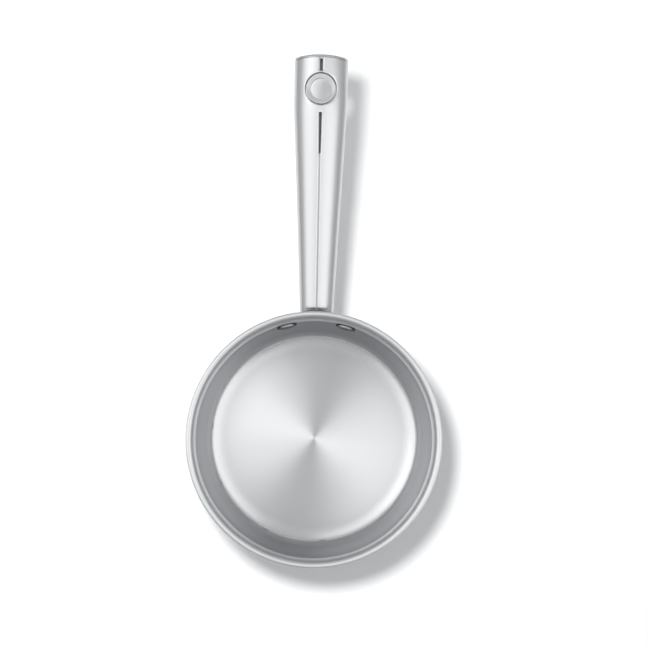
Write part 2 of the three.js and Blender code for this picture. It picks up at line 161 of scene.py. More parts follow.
@dataclass
class EffectGroups:
    """The shader node groups that the finishes share, each built when it is first asked for."""

    ring_break: float = 2.4
    coarse_share: float = 0.35
    coarse_pitch: float = 0.17
    stretch: float = 0.012
    edge_from: float = 0.505
    edge_to: float = 0.56
    built: dict[str, bpy.types.NodeTree] = field(default_factory=dict)

    def get(self, effect: Union[Grain, Effect]) -> bpy.types.NodeTree:
        """Gives the group of an effect.

        Args:
            effect: A grain or one of the other effects.

        Returns:
            Its node group.
        """
        makers = {Effect.EDGE_POLISH: self._edge_polish, Effect.HEIGHT_FADE: self._height_fade}
        if effect.value not in self.built:
            self.built[effect.value] = makers.get(effect, self._grain)(effect)
        return self.built[effect.value]

    @staticmethod
    def _start(
        effect: Union[Grain, Effect], inputs: dict[str, str], output: str
    ) -> tuple[Nodes, bpy.types.Node, bpy.types.Node]:
        """Starts a group with named sockets.

        Args:
            effect: The effect that the group is for.
            inputs: Socket type of each input, by its name.
            output: Name of the one output, a value from 0 to 1.

        Returns:
            The group's nodes, its input node and its output node.
        """
        tree = bpy.data.node_groups.new(effect.value, "ShaderNodeTree")
        for label, kind in inputs.items():
            tree.interface.new_socket(label, in_out="INPUT", socket_type=kind)
        tree.interface.new_socket(output, in_out="OUTPUT", socket_type="NodeSocketFloat")
        nodes = Nodes(tree)
        return nodes, nodes.add("NodeGroupInput"), nodes.add("NodeGroupOutput")

    def _grain(self, grain: Grain) -> bpy.types.NodeTree:
        """Builds a grain, fine with a share of a coarser one.

        A turned grain is rings about the pan's axis, over floors and walls alike. A brushed grain is lines
        along +Y, and a blasted grain is even and without direction.

        Args:
            grain: How the surface was worked.

        Returns:
            A group from Position and Pitch, in lines per metre, to Grain.
        """
        sockets = {"Position": "NodeSocketVector", "Pitch": "NodeSocketFloat"}
        nodes, start, end = self._start(grain, sockets, "Grain")
        place = start.outputs["Position"]
        if grain is Grain.TURNED:
            flat = nodes.vector_math("MULTIPLY", place, (1.0, 1.0, 0.0))
            bearing = nodes.vector_math("NORMALIZE", flat)
            around = nodes.vector_math("MULTIPLY", bearing, (self.ring_break,) * 3)
            radius = nodes.vector_math("LENGTH", flat, output="Value")
            height = nodes.add("ShaderNodeSeparateXYZ", {"Vector": place}).outputs["Z"]
            run = nodes.math("ADD", radius, height)
        elif grain is Grain.BRUSHED:
            place = nodes.vector_math("MULTIPLY", place, (1.0, self.stretch, 1.0))
        layers = []
        for size in (1.0, self.coarse_pitch):
            pitch = nodes.math("MULTIPLY", start.outputs["Pitch"], size)
            if grain is Grain.TURNED:
                values = {"Vector": around, "W": nodes.math("MULTIPLY", run, pitch), "Scale": 1.0}
                noise = nodes.add("ShaderNodeTexNoise", values, noise_dimensions="4D")
            else:
                noise = nodes.add("ShaderNodeTexNoise", {"Vector": place, "Scale": pitch})
            layers.append(noise.outputs[0])
        fine = nodes.math("MULTIPLY", layers[0], 1.0 - self.coarse_share)
        nodes.feed(nodes.math("MULTIPLY_ADD", layers[1], self.coarse_share, fine), end.inputs[0])
        return nodes.tree

    def _edge_polish(self, effect: Effect) -> bpy.types.NodeTree:
        """Builds a mask of the edges that handling has polished.

        Args:
            effect: The effect that the group is for.

        Returns:
            A group from Pointiness to Edge.
        """
        nodes, start, end = self._start(effect, {"Pointiness": "NodeSocketFloat"}, "Edge")
        span = {"Value": start.outputs["Pointiness"], "From Min": self.edge_from, "From Max": self.edge_to}
        nodes.feed(nodes.add("ShaderNodeMapRange", span).outputs["Result"], end.inputs[0])
        return nodes.tree

    def _height_fade(self, effect: Effect) -> bpy.types.NodeTree:
        """Builds a mask that fades out with height.

        Args:
            effect: The effect that the group is for.

        Returns:
            A group from Position, Low and High, in metres, to Fade, which is 1 below and 0 above.
        """
        sockets = {"Position": "NodeSocketVector", "Low": "NodeSocketFloat", "High": "NodeSocketFloat"}
        nodes, start, end = self._start(effect, sockets, "Fade")
        height = nodes.add("ShaderNodeSeparateXYZ", {"Vector": start.outputs["Position"]}).outputs["Z"]
        fade = nodes.add("ShaderNodeMapRange", {"Value": height, "To Min": 1.0, "To Max": 0.0})
        nodes.feed(start.outputs["Low"], fade.inputs["From Min"])
        nodes.feed(start.outputs["High"], fade.inputs["From Max"])
        nodes.feed(fade.outputs["Result"], end.inputs[0])
        return nodes.tree


GROUPS = EffectGroups()


@dataclass(frozen=True)
class PaintedFootSheen:
    """How the lower part of a surface differs from the rest of it, up to where that fades out: a lighter
    colour, which is painted sheen, and its own roughness.
    """

    colour: Colour
    roughness: float
    low: float
    high: float


@dataclass(frozen=True)
class Masks:
    """Masks of one material, each from 0 to 1; the foot, painted lighter as a painted sheen, has one only if
    it differs.
    """

    grain: bpy.types.NodeSocket
    edge: bpy.types.NodeSocket
    foot: Optional[bpy.types.NodeSocket]


@dataclass(frozen=True)
class MetalFinish:
    """One way that a metal surface of the pan is worked."""

    name: str
    colour: Colour
    roughness: float
    grain: Grain
    pitch: float
    contrast: float = 0.05
    relief: float = 2e-6
    grain_roughness: float = 0.06
    anisotropy: float = 0.0
    spread_turn: float = 0.0
    polish: float = 0.05
    lean: float = 0.0
    # Tint of the reflection at grazing angles; where it is not white, on the inner wall and the rivets, it is
    # painted shade.
    edge_tint: Colour = (1.0, 1.0, 1.0)
    # Lower part of the surface painted lighter, a painted sheen, with its own roughness.
    foot: Optional[PaintedFootSheen] = None

    def material(self) -> bpy.types.Material:
        """Gives the material of this finish, which is built when it is first asked for.

        Returns:
            A metal whose tone, roughness and relief follow its grain.
        """
        if self.name in bpy.data.materials:
            return bpy.data.materials[self.name]
        material = bpy.data.materials.new(self.name)
        material.use_nodes = True
        nodes = Nodes(material.node_tree)
        shader = material.node_tree.nodes["Principled BSDF"]
        masks = self._masks(nodes)
        self._dress_colour(nodes, shader, masks)
        self._dress_surface(nodes, shader, masks)
        return material

    def _masks(self, nodes: Nodes) -> Masks:
        """Places the shared groups with this finish's own values.

        Args:
            nodes: Nodes of the material.

        Returns:
            What the groups give.
        """
        place = nodes.add("ShaderNodeTexCoord").outputs["Object"]
        mapping = nodes.add("ShaderNodeMapping", {"Vector": place, "Rotation": (-self.lean, 0.0, 0.0)})
        position = mapping.outputs["Vector"]
        pointiness = nodes.add("ShaderNodeNewGeometry").outputs["Pointiness"]
        grain = self._effect(nodes, self.grain, {"Position": position, "Pitch": self.pitch})
        edge = self._effect(nodes, Effect.EDGE_POLISH, {"Pointiness": pointiness})
        if self.foot is None:
            return Masks(grain, edge, None)
        span = {"Position": position, "Low": self.foot.low, "High": self.foot.high}
        return Masks(grain, edge, self._effect(nodes, Effect.HEIGHT_FADE, span))

    @staticmethod
    def _effect(nodes: Nodes, effect: Union[Grain, Effect], values: dict[str, Input]) -> bpy.types.NodeSocket:
        """Places the group of an effect and gives its output."""
        return nodes.add("ShaderNodeGroup", values, node_tree=GROUPS.get(effect)).outputs[0]

    def _dress_colour(self, nodes: Nodes, shader: bpy.types.Node, masks: Masks) -> None:
        """Feeds the base colour, darker in the grain, lighter on polished edges and, where a finish has a
        foot, painted lighter there as a painted sheen.

        Args:
            nodes: Nodes of the material.
            shader: Its Principled BSDF.
            masks: Its masks.
        """
        low = tuple(channel * (1.0 - self.contrast) for channel in self.colour)
        high = tuple(min(1.0, channel * (1.0 + self.contrast)) for channel in self.colour)
        worked = nodes.mix(masks.grain, (*low, 1.0), (*high, 1.0))
        if masks.foot is not None:
            # Painted sheen: the lower part is given a lighter colour.
            worked = nodes.mix(masks.foot, worked, (*self.foot.colour, 1.0))
        nodes.feed(nodes.mix(masks.edge, worked, (*high, 1.0)), shader.inputs["Base Color"])

    def _dress_surface(self, nodes: Nodes, shader: bpy.types.Node, masks: Masks) -> None:
        """Feeds roughness, relief and the direction of the grain.

        Args:
            nodes: Nodes of the material.
            shader: Its Principled BSDF.
            masks: Its masks.
        """
        base = self.roughness - self.grain_roughness / 2
        rough = nodes.math("MULTIPLY_ADD", masks.grain, self.grain_roughness, base)
        rough = nodes.math("MULTIPLY_ADD", masks.edge, -self.polish, rough)
        if masks.foot is not None:
            rough = nodes.math("MULTIPLY_ADD", masks.foot, self.foot.roughness - self.roughness, rough)
        nodes.feed(rough, shader.inputs["Roughness"])
        if self.relief > 0:
            bump = nodes.add("ShaderNodeBump", {"Height": masks.grain, "Distance": self.relief})
            nodes.feed(bump.outputs["Normal"], shader.inputs["Normal"])
        shader.inputs["Metallic"].default_value = 1.0
        # Grazing tint: painted shade where a finish sets it below white.
        shader.inputs["Specular Tint"].default_value = (*self.edge_tint, 1.0)
        shader.inputs["Anisotropic"].default_value = self.anisotropy
        shader.inputs["Anisotropic Rotation"].default_value = self.spread_turn
        if self.grain is Grain.TURNED:
            tangent = nodes.add("ShaderNodeTangent", direction_type="RADIAL", axis="Z")
            nodes.feed(tangent.outputs["Tangent"], shader.inputs["Tangent"])
        elif self.grain is Grain.BRUSHED:
            tangent = nodes.add("ShaderNodeTangent", direction_type="UV_MAP")
            nodes.feed(tangent.outputs["Tangent"], shader.inputs["Tangent"])


class Skin:
    """Points and faces of one closed piece while it is built, in millimetres."""

    def __init__(self) -> None:
        """Starts empty."""
        self.points: list[Vector] = []
        self.maps: list[Point2] = []
        self.faces: list[tuple[int, ...]] = []
        self.slots: list[int] = []

    def point(self, place: Vector, u: float, v: float) -> int:
        """Adds a point.

        Args:
            place: Where it is, in millimetres.
            u: Share of the way around the piece.
            v: Way along it.

        Returns:
            Its index.
        """
        self.points.append(place)
        self.maps.append((u % 1.0, v))
        return len(self.points) - 1

    def face(self, corners: Sequence[int], slot: int = 0) -> None:
        """Adds a face, or none where its corners fall together.

        Args:
            corners: Indices of its points, in order.
            slot: Material slot of the face.
        """
        kept = [c for i, c in enumerate(corners) if c != corners[i - 1]]
        if len(kept) > 2:
            self.faces.append(tuple(kept))
            self.slots.append(slot)

    def bridge(self, one: Sequence[int], two: Sequence[int], closed: bool = True, slot: int = 0) -> None:
        """Joins two rows of points; a row of one point is a pole.

        Args:
            one: Indices of the first row.
            two: Indices of the second row.
            closed: Whether the rows run all the way around.
            slot: Material slot of the faces.
        """
        count = max(len(one), len(two))
        first = list(one) if len(one) > 1 else list(one) * count
        second = list(two) if len(two) > 1 else list(two) * count
        for i in range(count if closed else count - 1):
            after = (i + 1) % count
            self.face((first[i], first[after], second[after], second[i]), slot)

    def loft(self, rows: Sequence[Sequence[int]], closed: bool = True) -> None:
        """Joins each row of points to the next one."""
        for one, two in zip(rows, rows[1:]):
            self.bridge(one, two, closed)

    def loop_maps(self, corners: Sequence[int]) -> list[Point2]:
        """Gives the map coordinates of a face, carried on where they wrap around.

        Args:
            corners: Indices of the face's points.

        Returns:
            One pair for each corner.
        """
        maps = [self.maps[c] for c in corners]
        spread = max(u for u, _ in maps) - min(u for u, _ in maps)
        if spread > HALF_MAP:
            maps = [(u + 1.0 if u < HALF_MAP else u, v) for u, v in maps]
        return maps

    def mesh(self, name: str) -> bpy.types.Mesh:
        """Turns the skin into a mesh with outward faces and map coordinates.

        Args:
            name: Name of the mesh.

        Returns:
            The mesh, in metres.
        """
        mesh = bpy.data.meshes.new(name)
        mesh.from_pydata([place * MM for place in self.points], [], self.faces)
        layer = mesh.uv_layers.new(name="grain")
        for polygon, corners, slot in zip(mesh.polygons, self.faces, self.slots):
            polygon.material_index = slot
            for loop, pair in zip(polygon.loop_indices, self.loop_maps(corners)):
                layer.data[loop].uv = pair
        finish_mesh(mesh)
        return mesh


def finish_mesh(mesh: bpy.types.Mesh) -> None:
    """Turns faces outward and shades them smooth up to sharp edges.

    Args:
        mesh: The mesh, which is changed in place.
    """
    work = bmesh.new()
    work.from_mesh(mesh)
    bmesh.ops.recalc_face_normals(work, faces=work.faces)
    work.to_mesh(mesh)
    work.free()
    mesh.shade_smooth()
    mesh.set_sharp_from_angle(angle=SHARP_ANGLE)
    mesh.update()


def place_piece(mesh: bpy.types.Mesh, finishes: Sequence[MetalFinish], node: str) -> None:
    """Puts a piece into the scene in place of a CAD node.

    Args:
        mesh: Its mesh, which also gives its name.
        finishes: Its finishes, in slot order.
        node: The CAD node that it stands for.
    """
    piece = bpy.data.objects.new(mesh.name, mesh)
    bpy.context.scene.collection.objects.link(piece)
    for finish in finishes:
        mesh.materials.append(finish.material())
    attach(piece, BODY)
    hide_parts(node)
    LOG.info("%s: %d points, %d faces", piece.name, len(mesh.vertices), len(mesh.polygons))


def arc(centre: Point2, radius: float, start: float, stop: float, steps: int) -> list[Point2]:
    """Gives the points of an arc in a profile plane.

    Args:
        centre: Middle of the arc.
        radius: Its radius.
        start: First angle, in radians from the first axis.
        stop: Last angle.
        steps: Number of pieces.

    Returns:
        The points, both ends included.
    """
    angles = [start + (stop - start) * i / steps for i in range(steps + 1)]
    return [(centre[0] + radius * math.cos(a), centre[1] + radius * math.sin(a)) for a in angles]


def rounding(size: float, steps: int) -> list[Point2]:
    """Gives the points of a quarter round between two faces at right angles.

    Args:
        size: Its radius.
        steps: Number of pieces.

    Returns:
        How far each point lies inside the second and the first face, from the first face on.
    """
    turns = [QUARTER_TURN * k / steps for k in range(steps + 1)]
    return [(size * (1 - math.sin(t)), size * (1 - math.cos(t))) for t in turns]


def turned(profile: Sequence[Row], segments: int, turn: Optional[Matrix] = None) -> Skin:
    """Turns a profile about +Z.

    Args:
        profile: Radius, height and material slot of each row, from pole to pole; a row's slot is that
            of the faces up to the next one.
        segments: Faces around.
        turn: Where the piece goes, if not along the pan's axis.

    Returns:
        The closed skin.
    """
    skin = Skin()
    rows: list[list[int]] = []
    way = 0.0
    last = profile[0]
    for radius, height, slot in profile:
        way += math.hypot(radius - last[0], height - last[1]) / MAP_UNIT
        last = (radius, height, slot)
        count = segments if radius > TINY else 1
        row = []
        for k in range(count):
            angle = FULL_TURN * k / segments
            place = Vector((radius * math.cos(angle), radius * math.sin(angle), height))
            row.append(skin.point(turn @ place if turn else place, k / segments, way))
        rows.append(row)
    for i in range(len(rows) - 1):
        skin.bridge(rows[i], rows[i + 1], slot=profile[i][2])
    return skin


@dataclass(frozen=True)
class Levels:
    """Heights and radii that several pieces share."""

    inner_radius: float = 80.0
    depth: float = 75.0
    sheet: float = 0.8
    wall_taper: float = 6.1
    upright_height: float = 27.0
    round_reach: float = 10.9
    round_height: float = 3.5
    core: float = 5.0
    cap_sheet: float = 0.6
    cap_inset: float = 0.5
    rivet_spacing: float = 40.6
    rivet_drop: float = 16.0
    saddle_clearance: float = 0.3
    saddle_sheet: float = 2.5

    @property
    def shell_bottom(self) -> float:
        """Underside of the pan's sheet."""
        return self.cap_sheet + self.core

    @property
    def floor(self) -> float:
        """Cooking floor."""
        return self.shell_bottom + self.sheet

    @property
    def rim(self) -> float:
        """Top of the rim."""
        return self.floor + self.depth

    @property
    def outer_radius(self) -> float:
        """Outside of the wall."""
        return self.inner_radius + self.sheet

    @property
    def flat_radius(self) -> float:
        """Edge of the flat floor."""
        return self.inner_radius - self.wall_taper - self.round_reach

    @property
    def upright(self) -> float:
        """Level where the tapered wall turns upright."""
        return self.rim - self.upright_height

    @property
    def rivets(self) -> float:
        """Axes of the rivets."""
        return self.rim - self.rivet_drop

    @property
    def rivet_angle(self) -> float:
        """Angle of a rivet's axis from the handle's."""
        return math.asin(self.rivet_spacing / 2 / self.inner_radius)

    @property
    def saddle_inside(self) -> float:
        """Radius of the saddle's inner face."""
        return self.outer_radius + self.saddle_clearance

    @property
    def saddle_outside(self) -> float:
        """Radius of the saddle's outer face."""
        return self.saddle_inside + self.saddle_sheet


LEVELS = Levels()


@dataclass
class Pan:
    """Drawn bowl with its flared rim, and the sandwich base below it."""

    flare_reach: float = 4.3
    flare_height: float = 9.0
    lip_radius: float = 2.4
    lip_sweep: float = math.radians(45)
    cap_corner: float = 2.2
    core_clearance: float = 0.3
    floor_rings: tuple[float, ...] = (1.5, 6.0, 16.0, 32.0, 48.0)
    segments: int = 256
    round_steps: int = 28
    floor_share: float = 0.75
    flare_steps: int = 20
    wall_steps: int = 8
    knee: float = 9.0
    knee_steps: int = 8
    corner_steps: int = 8

    floor_finish: MetalFinish = MetalFinish(
        "turned_floor_steel", (0.65, 0.65, 0.652), 0.27, Grain.TURNED, 1400.0,
        anisotropy=0.9, spread_turn=0.25, contrast=0.012, relief=0.0, grain_roughness=0.015,
    )
    # Inner wall: its darker colour is painted shade and its bluish grazing tint a painted reflection; its
    # lighter foot is a painted sheen, while the rougher foot is the finish.
    wall_shade_and_sheen_finish: MetalFinish = MetalFinish(
        "wall_steel_painted_shade_and_sheen", (0.50, 0.505, 0.515), 0.31, Grain.TURNED, 2600.0,
        contrast=0.03, relief=5e-7, edge_tint=(0.65, 0.663, 0.682),
        foot=PaintedFootSheen((0.82, 0.825, 0.83), 0.55, 0.010, 0.028),
    )
    outside_finish: MetalFinish = MetalFinish(
        "satin_outside_steel", (0.60, 0.605, 0.61), 0.29, Grain.TURNED, 2200.0, contrast=0.04, relief=1e-6,
    )
    # Rim: the flare below the lip's crest is painted lighter, a painted sheen; its roughness stays the same.
    rim_sheen_finish: MetalFinish = MetalFinish(
        "rim_steel_painted_sheen", (0.60, 0.605, 0.61), 0.4, Grain.TURNED, 1500.0,
        contrast=0.02, relief=5e-7, grain_roughness=0.03,
        foot=PaintedFootSheen((0.78, 0.785, 0.79), 0.4, 0.0806, 0.0816),
    )
    core_finish: MetalFinish = MetalFinish(
        "rolled_core_aluminium", (0.74, 0.75, 0.76), 0.42, Grain.BLASTED, 1800.0,
    )
    base_finish: MetalFinish = MetalFinish(
        "turned_base_steel", (0.56, 0.56, 0.565), 0.34, Grain.TURNED, 1400.0,
        anisotropy=0.8, spread_turn=0.25, contrast=0.08, relief=5e-6,
    )

    def build(self) -> None:
        """Builds and dresses the bowl, the core and the cap."""
        bowl = turned(self._shell_profile(), self.segments).mesh("bowl")
        disc = turned(self._core_profile(), self.segments).mesh("heat_disc")
        cup = turned(self._cap_profile(), self.segments).mesh("base_cup")
        finishes = (self.wall_shade_and_sheen_finish, self.rim_sheen_finish, self.floor_finish, self.outside_finish)
        place_piece(bowl, finishes, "pan_shell")
        place_piece(disc, (self.core_finish,), "base_core")
        place_piece(cup, (self.base_finish,), "base_cap")

    def _shell_profile(self) -> list[Row]:
        """Gives the bowl's profile, up the outside and down the inside.

        Returns:
            Rows with slot 0 for the inner wall, 1 for the rim, 2 for the floor and 3 for the outside.
        """
        wall, rim, floor, outside = range(4)
        rows = [(r, LEVELS.shell_bottom, outside) for r in (0.0, LEVELS.flat_radius / 2)]
        rows += [(r, z, outside) for r, z in self._body(LEVELS.sheet)]
        under = self._lip(LEVELS.sheet)
        over = self._lip(0.0)
        rows += [(r, z, outside) for r, z in under]
        rows += [(r, z, rim) for r, z in self._edge(under[-1], over[-1])]
        rows += [(r, z, rim) for r, z in reversed(over[1:])]
        rows.append((*over[0], wall))
        inside = self._body(0.0)
        turned_to = round(self.round_steps * self.floor_share)
        rows += [(r, z, wall) for r, z in reversed(inside[turned_to:])]
        rows += [(r, z, floor) for r, z in reversed(inside[:turned_to])]
        rows += [(r, LEVELS.floor, floor) for r in reversed(self.floor_rings)]
        rows.append((0.0, LEVELS.floor, floor))
        return rows

    def _body(self, below: float) -> list[Point2]:
        """Gives a face of the body, from the flat floor over its rounding and up the wall.

        Args:
            below: Depth of the face below the inner one.

        Returns:
            Radius and height of each row, up to the upright wall.
        """
        reach, rise = LEVELS.round_reach, LEVELS.round_height
        lean = math.atan2(LEVELS.wall_taper, LEVELS.upright - LEVELS.floor - rise)
        last = math.atan2(reach, rise * math.tan(lean))
        rows = []
        for k in range(self.round_steps + 1):
            turn = last * k / self.round_steps
            normal = Vector((-rise * math.sin(turn), reach * math.cos(turn))).normalized()
            radius = LEVELS.flat_radius + reach * math.sin(turn) - below * normal.x
            height = LEVELS.floor + rise * (1 - math.cos(turn)) - below * normal.y
            rows.append((radius, height))
        foot = Vector(rows[-1])
        bend = Vector((LEVELS.inner_radius + below, LEVELS.upright))
        start = bend - self.knee * (bend - foot).normalized()
        stop = bend + Vector((0.0, self.knee))
        for k in range(1, self.wall_steps):
            rows.append(tuple(foot.lerp(start, k / self.wall_steps)))
        for k in range(self.knee_steps + 1):
            share = k / self.knee_steps
            rows.append(tuple(start.lerp(bend, share).lerp(bend.lerp(stop, share), share)))
        return rows

    def _lip(self, below: float) -> list[Point2]:
        """Gives a face of the rim, from the upright wall over the flare to the sheet's edge.

        Args:
            below: Depth of the face below the upper one.

        Returns:
            Radius and height of each row.
        """
        top = LEVELS.inner_radius + self.flare_reach
        rows = []
        for k in range(self.flare_steps + 1):
            turn = QUARTER_TURN * k / self.flare_steps
            slope = (-math.cos(turn) / self.flare_reach, math.sin(turn) / self.flare_height)
            normal = Vector(slope).normalized()
            radius = top - self.flare_reach * math.cos(turn) - below * normal.x
            height = LEVELS.rim - self.flare_height * (1 - math.sin(turn)) - below * normal.y
            rows.append((radius, height))
        centre = (top, LEVELS.rim - self.lip_radius)
        stop = QUARTER_TURN - self.lip_sweep
        roll = arc(centre, self.lip_radius - below, QUARTER_TURN, stop, self.flare_steps)
        return rows + roll[1:]

    def _edge(self, under: Point2, over: Point2) -> list[Point2]:
        """Gives the rounded edge of the sheet between the two faces of the rim, without its ends.

        Args:
            under: Last point of the lower face.
            over: Last point of the upper face.

        Returns:
            Radius and height of each row.
        """
        middle = Vector(under).lerp(Vector(over), 0.5)
        out = (Vector(over) - Vector(under)) / 2
        ahead = Vector((out.y, -out.x))
        turns = [math.pi * k / self.corner_steps for k in range(1, self.corner_steps)]
        return [tuple(middle - out * math.cos(t) + ahead * math.sin(t)) for t in turns]

    def _core_profile(self) -> list[Row]:
        """Gives the profile of the disc that fills the cap.

        Returns:
            Rows from pole to pole, all of one slot.
        """
        corner = self.cap_corner - LEVELS.cap_sheet
        radius = LEVELS.flat_radius - LEVELS.cap_inset - LEVELS.cap_sheet - self.core_clearance
        centre = (radius - corner, LEVELS.cap_sheet + corner)
        side = arc(centre, corner, -QUARTER_TURN, 0.0, self.corner_steps)
        top = LEVELS.shell_bottom
        rows = [(0.0, LEVELS.cap_sheet), *side, (radius, top), (0.0, top)]
        return [(r, z, 0) for r, z in rows]

    def _cap_profile(self) -> list[Row]:
        """Gives the profile of the cap, up the outside and down the inside.

        Returns:
            Rows from pole to pole, all of one slot.
        """
        radius = LEVELS.flat_radius - LEVELS.cap_inset
        centre = (radius - self.cap_corner, self.cap_corner)
        inner = self.cap_corner - LEVELS.cap_sheet
        outside = arc(centre, self.cap_corner, -QUARTER_TURN, 0.0, self.corner_steps)
        inside = arc(centre, inner, 0.0, -QUARTER_TURN, self.corner_steps)
        top = LEVELS.shell_bottom
        rows = [(0.0, 0.0), *((r, 0.0) for r in self.floor_rings), *outside, (radius, top)]
        rows += [(radius - LEVELS.cap_sheet, top), *inside, (0.0, LEVELS.cap_sheet)]
        return [(r, z, 0) for r, z in rows]


@dataclass(frozen=True)
class HandleForm:
    """Outer form of the handle, which its shell, sleeve, end cap and neck all follow."""

    length: float = 177.0
    sheet: float = 1.2
    root_rise: float = math.radians(15.5)
    end_rise: float = math.radians(10.5)
    root_size: Point2 = (22.6, 13.5)
    end_size: Point2 = (35.6, 19.5)
    grip_length: float = 34.0
    grip_blend: float = 12.0
    taper_power: float = 1.12
    section_power: float = 2.3
    cap_round: float = 70.0
    cap_round_run: float = 16.0
    sleeve_from_end: float = 20.3
    quarter: int = 24
    crowding: float = 1.6
    cope_rounds: int = 8

    @property
    def sleeve_station(self) -> float:
        """Station of the hanging hole's axis."""
        return self.length - self.sleeve_from_end

    @property
    def lean(self) -> float:
        """Mean slope of the handle."""
        return (self.root_rise + self.end_rise) / 2

    def along(self, station: float) -> Vector:
        """Gives the handle's direction at a station.

        Args:
            station: Way along the middle line from the wall.

        Returns:
            The direction, of length 1.
        """
        t = station / self.length
        y = (1 - t) * math.cos(self.root_rise) + t * math.cos(self.end_rise)
        z = (1 - t) * math.sin(self.root_rise) + t * math.sin(self.end_rise)
        return Vector((0.0, y, z)).normalized()

    def origin(self, station: float) -> Vector:
        """Gives the point of the middle line at a station.

        Args:
            station: Way along the middle line from the wall.

        Returns:
            The point in the pan's axes.
        """
        t = station / self.length
        leg = self.length / 2
        start = Vector((0.0, LEVELS.outer_radius, LEVELS.rivets))
        knee = start + leg * Vector((0.0, math.cos(self.root_rise), math.sin(self.root_rise)))
        end = knee + leg * Vector((0.0, math.cos(self.end_rise), math.sin(self.end_rise)))
        return (1 - t) ** 2 * start + 2 * t * (1 - t) * knee + t * t * end

    def place(self, station: float, x: float, z: float, y: float = 0.0) -> Vector:
        """Places a point of the handle.

        Args:
            station: Way along the middle line from the wall.
            x: Across, to the right.
            z: Out of the handle's top.
            y: Further along the straight line at that station.

        Returns:
            The point in the pan's axes.
        """
        along = self.along(station)
        out = Vector((0.0, -along.z, along.y))
        run = min(max((station - self.length + self.cap_round_run) / self.cap_round_run, 0.0), 1.0)
        bend = run * run * (3 - 2 * run)
        back = bend * (self.cap_round - math.sqrt(self.cap_round**2 - x * x))
        return self.origin(station) + Vector((x, 0.0, 0.0)) + out * z + along * (y - back)

    def half_sizes(self, station: float, inset: float) -> Point2:
        """Gives half the width and half the height of a section.

        Args:
            station: Where the section is.
            inset: How far inside the outer face.

        Returns:
            Half width and half height.
        """
        widening = (max(station, 0.0) / (self.length - self.grip_length)) ** self.taper_power
        blend = self.grip_blend / self.length
        near = max(blend - abs(widening - 1), 0.0)
        share = min(widening, 1.0) - near * near / (4 * blend)
        sizes = [a + (b - a) * share for a, b in zip(self.root_size, self.end_size)]
        return sizes[0] / 2 - inset, sizes[1] / 2 - inset

    def _oval(self, value: float) -> float:
        """Shapes a sine or cosine into the handle's rounder oval."""
        return math.copysign(abs(value) ** (2 / self.section_power), value)

    def section(self, station: float, angle: float, inset: float) -> Point2:
        """Gives a point of a section.

        Args:
            station: Where the section is.
            angle: Angle around it from the top.
            inset: How far inside the outer face.

        Returns:
            Its place across and out.
        """
        a, b = self.half_sizes(station, inset)
        return a * self._oval(math.sin(angle)), b * self._oval(math.cos(angle))

    def rise(self, station: float, x: float, inset: float) -> float:
        """Gives how far the top stands above the middle line at a place across."""
        a, b = self.half_sizes(station, inset)
        return b * max(1 - abs(x / a) ** self.section_power, 0.0) ** (1 / self.section_power)

    def bearing(self, station: float, x: float, inset: float) -> float:
        """Gives the angle around the section of a place across its top."""
        share = min(abs(x) / self.half_sizes(station, inset)[0], 1.0)
        return math.copysign(math.asin(share ** (self.section_power / 2)), x)

    def angles(self) -> list[float]:
        """Gives the angles around a section, crowded at the top and bottom.

        Returns:
            Angles from the top once around.
        """
        quarter = [QUARTER_TURN * (k / self.quarter) ** self.crowding for k in range(self.quarter + 1)]
        half = quarter[:-1] + [math.pi - a for a in reversed(quarter)]
        return half[:-1] + [math.pi] + [FULL_TURN - a for a in reversed(half[1:-1])]

    def cope(self, angle: float, inset: float, radius: float) -> float:
        """Finds the station where a line along the handle meets an upright cylinder.

        Args:
            angle: Angle of the line around the section.
            inset: How far inside the outer face it runs.
            radius: Radius of the cylinder about the pan's axis.

        Returns:
            The station.
        """
        station = radius - LEVELS.outer_radius
        for _ in range(self.cope_rounds):
            place = self.place(station, *self.section(station, angle, inset))
            station += radius - math.hypot(place.x, place.y)
        return station


FORM = HandleForm()


@dataclass
class SheetFace:
    """Outer or inner face of the handle's sheet, as rows of point indices."""

    grid: list[list[Optional[int]]] = field(default_factory=list)
    twins: list[Optional[int]] = field(default_factory=list)
    holes: list[list[int]] = field(default_factory=list)

    def after(self, i: int, j: int) -> int:
        """Gives the point after a column, which for the last one is on the left edge of the seam."""
        return self.twins[i] if j + 1 == len(self.grid[i]) else self.grid[i][j + 1]


